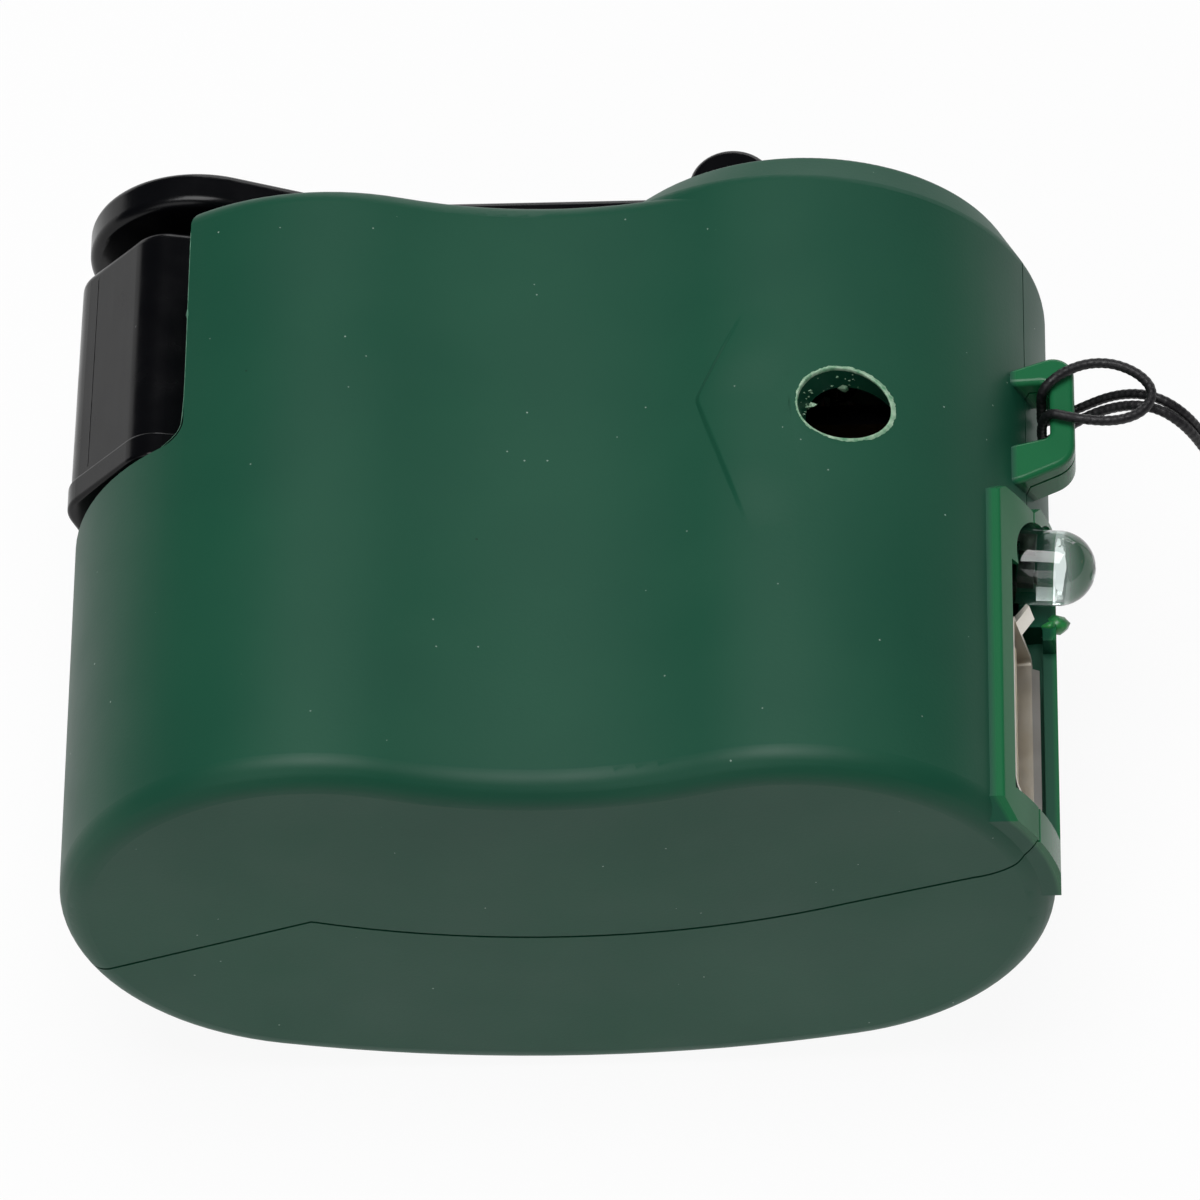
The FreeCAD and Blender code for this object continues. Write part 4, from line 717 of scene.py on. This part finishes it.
class CHARGER_OT_lanyard(bpy.types.Operator):
    """Lays the lanyard: a hitch through the eye, two strands, a small coil and a knot"""
    bl_idname = "charger.lanyard"
    bl_label = "Lanyard"

    def execute(self, context):
        material = waxed_cord()
        width = context.scene.charger_sizes.cord_width
        away = [(63.55, 33.2, 1.15), (63.3, 34.2, 1.15)]
        other = [(62.8, 33.3, 1.05), (62.9, 34.2, 1.1)]
        one = [at(*p) for p in HITCH + TAIL_ONE + coil_turns(False) + away]
        two = [at(*p) for p in TAIL_TWO + coil_turns(True) + other]
        knot = self.knot(width, material)
        for name, route, nodes in (
                ("lanyard_strand_one", one, ("lanyard_hitch", "lanyard_tail_one", "lanyard_coil")),
                ("lanyard_strand_two", two, ("lanyard_tail_two",))):
            line, length = cord_line(name, route)
            strand = braided_tube(name, line, width / 2, "case", material)
            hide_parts(*nodes)
        return {"FINISHED"}

    def knot(self, width, material):
        """An overhand knot of both strands, with two short ends."""
        turns = []
        for step in range(15):
            t = -0.35 + step * 0.46
            turns.append(KNOT_MIDDLE + Vector((
                0.24 * (math.sin(t) + 2 * math.sin(2 * t)),
                0.24 * (math.cos(t) - 2 * math.cos(2 * t)),
                -0.5 * math.sin(3 * t))))
        ends = [turns[-1] + Vector((-0.5, 0.9, -0.4)), turns[-1] + Vector((-1.0, 1.9, -0.5))]
        line, _ = cord_line("knot", [at(*p) for p in turns + ends])
        knot = braided_tube("lanyard_knot", line, width / 2, "case", material)
        spare = [KNOT_MIDDLE + Vector(p) for p in (
            (0.1, 0.2, -0.4), (0.4, 0.9, -0.6), (0.5, 1.8, -0.8), (0.9, 2.6, -0.82))]
        line, _ = cord_line("knot end", [at(*p) for p in spare])
        end = braided_tube("lanyard_end", line, width / 2, "case", material)
        end.parent = knot
        return knot


POCKET_EDGE = [(-25.6, 28.2), (-24.54, 28.64), (-24.1, 29.7), (-24.1, 38.0), (-24.1, 44.9)]
WHISKER_Y = 38.2


class CHARGER_OT_case(bpy.types.Operator):
    """Finishes the case: satin skin, the front crease, the hole's burr, crumbs, flash and a painted
    highlight along the pocket's edge
    """
    bl_idname = "charger.case"
    bl_label = "Case"

    def execute(self, context):
        sizes = context.scene.charger_sizes
        dress(green_abs(), "front_shell", "rear_shell")
        dress(zinc_steel(), "case_screws")
        self.crease(sizes.swell_height / MM)
        self.burr(sizes.burr_height / MM)
        self.crumbs(sizes.crumb_count)
        self.pocket_edge_highlight()
        self.flash_scraps()
        return {"FINISHED"}

    def flash_scraps(self):
        """A nub of thin flash on the frame's rear bar, below the lamp."""
        pick = random.Random(3)
        scraps = []
        for middle, reach in (((32.85, 21.0, 20.3), (0.95, 0.75, 0.75)),
                              ((32.3, 20.6, 20.7), (0.6, 0.4, 0.5))):
            corners = []
            for _ in range(40):
                step = scattered(pick) * pick.uniform(0.75, 1.0)
                corners.append([a + b * c for a, b, c in zip(middle, step, reach)])
            scraps.append(corners)
        hull_scraps("flash_scraps", scraps, flash_abs(), smooth=True)

    def pocket_edge_highlight(self):
        """A painted highlight along the pocket's edge: a hair-thin pale bead with one raised whisker."""
        line, _ = cord_line("pocket edge", [at(x, y, front_height(x)) for x, y in POCKET_EDGE], 0.25)
        loops = []
        for point in line:
            y = point.y / MM - SHIFT.y
            size = 0.024 + 0.014 * noise.noise(Vector((0.0, y * 0.8, 0.0)))
            size += 0.1 * math.exp(-((y - WHISKER_Y) / 0.18) ** 2)
            loops.append([point + Vector((math.cos(k * math.pi / 4), 0.0, math.sin(k * math.pi / 4)))
                          * size * MM for k in range(8)])
        points, faces = joined_loops(loops)
        # painted highlight: the thin pale bead stands for light caught along the pocket's edge
        piece("pocket_edge_highlight", points, faces, "case", edge_highlight_abs())

    def crease(self, height):
        """A soft arrow-shaped step on the right lobe that fades out to its right."""
        tip, top, bottom = Vector((9.6, 29.4)), Vector((12.5, 35.5)), Vector((13.0, 18.9))
        loops = []
        rows, columns = 110, 80
        for row in range(rows + 1):
            y = 17.5 + (37.0 - 17.5) * row / rows
            up = (top.x - tip.x) / (top.y - tip.y)
            down = (bottom.x - tip.x) / (tip.y - bottom.y)
            rise, drop = (y - tip.y) * up, (tip.y - y) * down
            line_x = tip.x + 0.5 * (rise + drop + math.sqrt((rise - drop) ** 2 + 0.04))
            loop = []
            for column in range(columns + 1):
                x = line_x - 0.6 + 6.5 * (column / columns) ** 1.8
                away = x - line_x
                fade = smooth_step(bottom.y - 0.6, bottom.y + 5.0, y) * (
                    1 - smooth_step(top.y - 4.0, top.y + 0.8, y))
                size = height * fade * smooth_step(-0.2, 0.22, away) * (
                    1 - smooth_step(0.3, 5.6, away)) - 0.006
                slope = (front_height(x + 0.01) - front_height(x - 0.01)) / 0.02
                lean = Vector((-slope, 0.0, 1.0)).normalized()
                loop.append(at(*(Vector((x, y, front_height(x))) + lean * size)))
            loops.append(loop)
        points, faces = joined_loops(loops, closed_ends=False, ring=False)
        piece("front_crease", points, faces, "case", green_abs())

    def burr(self, height):
        """Torn plastic round the hole's mouth, thickest on its right."""
        loops = []
        for number in range(220):
            turn = 2 * math.pi * number / 220
            rough = noise.noise(Vector((math.cos(turn), math.sin(turn), 0.0)) * 4.5)
            fine = noise.noise(Vector((math.cos(turn), math.sin(turn), 3.0)) * 17.0)
            right = 0.5 + 0.5 * math.cos(turn - 0.5)
            wide = max(0.03, 0.07 + 0.2 * right + 0.1 * rough + 0.07 * fine)
            tall = max(0.02, height * (0.45 + 0.5 * right + 0.5 * rough + 0.5 * fine))
            section = [(HOLE_RADIUS + wide, -0.01), (HOLE_RADIUS + 0.55 * wide, 0.6 * tall),
                       (HOLE_RADIUS + 0.12 * wide, tall), (HOLE_RADIUS - 0.05, 0.3 * tall),
                       (HOLE_RADIUS - 0.03 + 0.03 * fine, -0.25)]
            loops.append([at(*mouth(turn, reach, lift)) for reach, lift in section])
        loops.append(loops[0])
        points, faces = joined_loops(loops, closed_ends=False, ring=False)
        piece("hole_burr", points, faces, "case", torn_abs())

    def crumbs(self, count):
        """Drilling crumbs on the hole's wall, the largest at its inner lip."""
        pick = random.Random(7)
        places = [(math.radians(101), -2.15, 0.42), (math.radians(157), -2.15, 0.4),
                  (math.radians(164), -1.9, 0.25)]
        for _ in range(count):
            places.append((math.radians(pick.uniform(75, 195)), pick.uniform(-2.2, -0.3),
                           pick.uniform(0.05, 0.13)))
        crumbs = []
        for turn, depth, size in places:
            middle = mouth(turn, HOLE_RADIUS - 0.3 * size, depth)
            corners = []
            for _ in range(14):
                step = scattered(pick)
                step.y *= 0.55
                corners.append(middle + step * size * pick.uniform(0.6, 1.1))
            crumbs.append(corners)
        hull_scraps("hole_crumbs", crumbs, torn_abs(), smooth=False)


def mouth(turn, reach, lift):
    """A point round the drilled hole: its turn, its distance from the axis, and its height
    above the lobe's skin, along the drill."""
    along = Vector((math.sin(HOLE_TILT), 0.0, math.cos(HOLE_TILT)))
    across = Vector((math.cos(HOLE_TILT), 0.0, -math.sin(HOLE_TILT)))
    point = HOLE_MIDDLE + (across * math.cos(turn) + Vector((0.0, 1.0, 0.0)) * math.sin(turn)) * reach
    off_x, off_z = point.x - LOBE_X, point.z - LOBE_Z
    toward = off_x * along.x + off_z * along.z
    rise = -toward + math.sqrt(toward ** 2 - off_x ** 2 - off_z ** 2 + LOBE_RADIUS ** 2)
    return point + along * (rise + lift)


LINE_LEAN = math.radians(62.0)
LINE_OFF_MIDDLE = math.radians(13.5)
LINE_LOW = 32.4
LINE_TOP = 47.9


class CHARGER_OT_crank(bpy.types.Operator):
    """Finishes the crank: hub, pin, arm and grip, with the grip's parting line"""
    bl_idname = "charger.crank"
    bl_label = "Crank"

    def execute(self, context):
        dress(black_abs(), "crank_arm", "handle_grip", "crank_hub")
        dress(zinc_steel(), "hinge_pin", "grip_pin")
        dress(turned_brass(), "shaft_bush")
        self.parting_line()
        return {"FINISHED"}

    def parting_line(self):
        """The fine ridge that the mould's two halves left along the grip's left side."""
        lean = LINE_LEAN
        out = Vector((-math.sin(lean), 0.0, math.cos(lean)))
        across = Vector((math.cos(lean), 0.0, math.sin(lean)))
        loops = []
        for step in range(81):
            y = LINE_LOW + (LINE_TOP - LINE_LOW) * step / 80
            taper = (GRIP_LOW_HALF - GRIP_TOP_HALF) * (y - GRIP_LOW) / (GRIP_TOP - GRIP_LOW)
            reach = (GRIP_LOW_HALF - taper) / math.cos(LINE_OFF_MIDDLE) - 0.03
            centre = Vector((GRIP_X, y, HUB_Z)) + out * reach
            tall = 0.05 + 0.02 * noise.noise(Vector((0.0, y * 1.3, 2.0)))
            loops.append([at(*(centre + across * side + out * lift)) for side, lift in (
                (-0.09, -0.02), (-0.03, tall), (0.03, tall), (0.09, -0.02))])
        points, faces = joined_loops(loops)
        piece("grip_parting_line", points, faces, "grip", black_abs())


# The lamp's inside, in millimetres along the lamp from its dome's middle, across it and up.
# Each bar of the frame has two opposite corners, and the cup a section of length and radius.
FRAME_BARS = (((-5.5, -1.45, -0.2), (-2.6, -1.1, 0.2)),
              ((-2.6, -1.15, -0.2), (-1.5, 0.15, 0.2)),
              ((-5.5, 1.05, -0.2), (-2.6, 1.4, 0.2)),
              ((-2.6, 0.65, -0.18), (-1.5, 1.4, 0.18)))
CUP_SECTION = ((-1.5, 0.14), (-1.28, 0.28), (-1.25, 0.31), (-1.25, 0.34), (-1.55, 0.24))
CUP_ACROSS = -0.6
DAB_FOOT = -1.45
DAB_HEIGHT = 0.1
DAB_RADIUS = 0.15


def in_lamp(along, across, up):
    """A point inside the lamp, which leans a little."""
    lean = Matrix.Rotation(LAMP_TILT, 3, "Z")
    return at(*(LAMP_DOME + lean @ Vector((along, across, up))))


def ring_in_lamp(along, reach, corners):
    """A ring of points round the cup's axis."""
    angles = [2 * math.pi * k / corners for k in range(corners)]
    return [in_lamp(along, CUP_ACROSS + reach * math.cos(a), reach * math.sin(a)) for a in angles]


class CHARGER_OT_port(bpy.types.Operator):
    """Finishes the socket and the lamp, with the lamp's frame inside its lens"""
    bl_idname = "charger.port"
    bl_label = "Socket and lamp"

    def execute(self, context):
        dress(nickel_steel(), "usb_shell")
        dress(cream_nylon(), "usb_tongue")
        dress(gold_flash(), "usb_contacts")
        dress(clear_epoxy(), "lamp_lens")
        dress(zinc_steel(), "lamp_leads")
        self.lamp_frame()
        points, faces = joined_loops([ring_in_lamp(along, reach, 32) for along, reach in CUP_SECTION])
        # painted shade: the cup's silver is darkened like the frame's
        piece("lamp_cup", points, faces, "case", shaded_silver_frame())
        points, faces = joined_loops(
            [ring_in_lamp(DAB_FOOT + DAB_HEIGHT * math.sin(lift), DAB_RADIUS * math.cos(lift), 16)
             for lift in (0.0, 0.5, 1.0, 1.4)])
        piece("lamp_phosphor", points, faces, "case", phosphor())
        return {"FINISHED"}

    def lamp_frame(self):
        """The two legs of the stamped frame, with their bent ends."""
        points, faces = [], []
        for (back, left, bottom), (front, right, top) in FRAME_BARS:
            section = ((left, bottom), (right, bottom), (right, top), (left, top))
            more, spans = joined_loops(
                [[in_lamp(along, across, up) for across, up in section] for along in (back, front)])
            faces += [tuple(i + len(points) for i in face) for face in spans]
            points += more
        piece("lamp_frame", points, faces, "case", shaded_silver_frame(), smooth=False)


class CHARGER_OT_gears(bpy.types.Operator):
    """Finishes the gear train and the plate that carries it"""
    bl_idname = "charger.gears"
    bl_label = "Gear train"

    def execute(self, context):
        dress(white_acetal(), "drive_gear", "idler_gear_one", "idler_gear_two")
        dress(zinc_steel(), "drive_gear_screw", "drive_gear_washer", "idler_axles", "plate_screws")
        dress(black_abs(), "gear_plate")
        return {"FINISHED"}


class CHARGER_OT_generator(bpy.types.Operator):
    """Finishes the generator"""
    bl_idname = "charger.generator"
    bl_label = "Generator"

    def execute(self, context):
        dress(nickel_steel(), "generator_can")
        dress(black_abs(), "generator_end_cap")
        dress(ground_ferrite(), "generator_magnets")
        dress(turned_brass(), "generator_terminals", "generator_pinion")
        dress(zinc_steel(), "rotor_shaft")
        dress(laminated_core(), "rotor_core")
        dress(wire_sleeve(), "generator_wires")
        return {"FINISHED"}


class CHARGER_OT_board(bpy.types.Operator):
    """Finishes the circuit board and what is soldered to it"""
    bl_idname = "charger.board"
    bl_label = "Circuit board"

    def execute(self, context):
        dress(board_laminate(), "circuit_board")
        dress(capacitor_sleeve(), "smoothing_capacitor")
        dress(black_epoxy(), "rectifier_diodes", "regulator_chip")
        return {"FINISHED"}


OPERATORS = (CHARGER_OT_stage, CHARGER_OT_lanyard, CHARGER_OT_case, CHARGER_OT_crank,
             CHARGER_OT_port, CHARGER_OT_gears, CHARGER_OT_generator, CHARGER_OT_board)


class CHARGER_PT_parts(bpy.types.Panel):
    """Lists the charger's pieces in the sidebar"""
    bl_idname = "CHARGER_PT_parts"
    bl_label = "Hand crank charger"
    bl_space_type = "VIEW_3D"
    bl_region_type = "UI"
    bl_category = "Charger"

    def draw(self, context):
        for group in (context.scene.charger_finish, context.scene.charger_sizes):
            for name in group.bl_rna.properties.keys():
                if name not in ("rna_type", "name"):
                    self.layout.prop(group, name)
        for operator in OPERATORS:
            self.layout.operator(operator.bl_idname)


CLASSES = (ChargerFinish, ChargerSizes) + OPERATORS + (CHARGER_PT_parts,)


def register():
    for kind in CLASSES:
        bpy.utils.register_class(kind)
    bpy.types.Scene.charger_finish = PointerProperty(type=ChargerFinish)
    bpy.types.Scene.charger_sizes = PointerProperty(type=ChargerSizes)


def unregister():
    del bpy.types.Scene.charger_finish
    del bpy.types.Scene.charger_sizes
    for kind in reversed(CLASSES):
        bpy.utils.unregister_class(kind)


def main():
    register()
    bpy.ops.charger.stage()
    bpy.ops.charger.lanyard()
    bpy.ops.charger.case()
    bpy.ops.charger.crank()
    bpy.ops.charger.port()
    bpy.ops.charger.gears()
    bpy.ops.charger.generator()
    bpy.ops.charger.board()


if __name__ == "__main__":
    main()
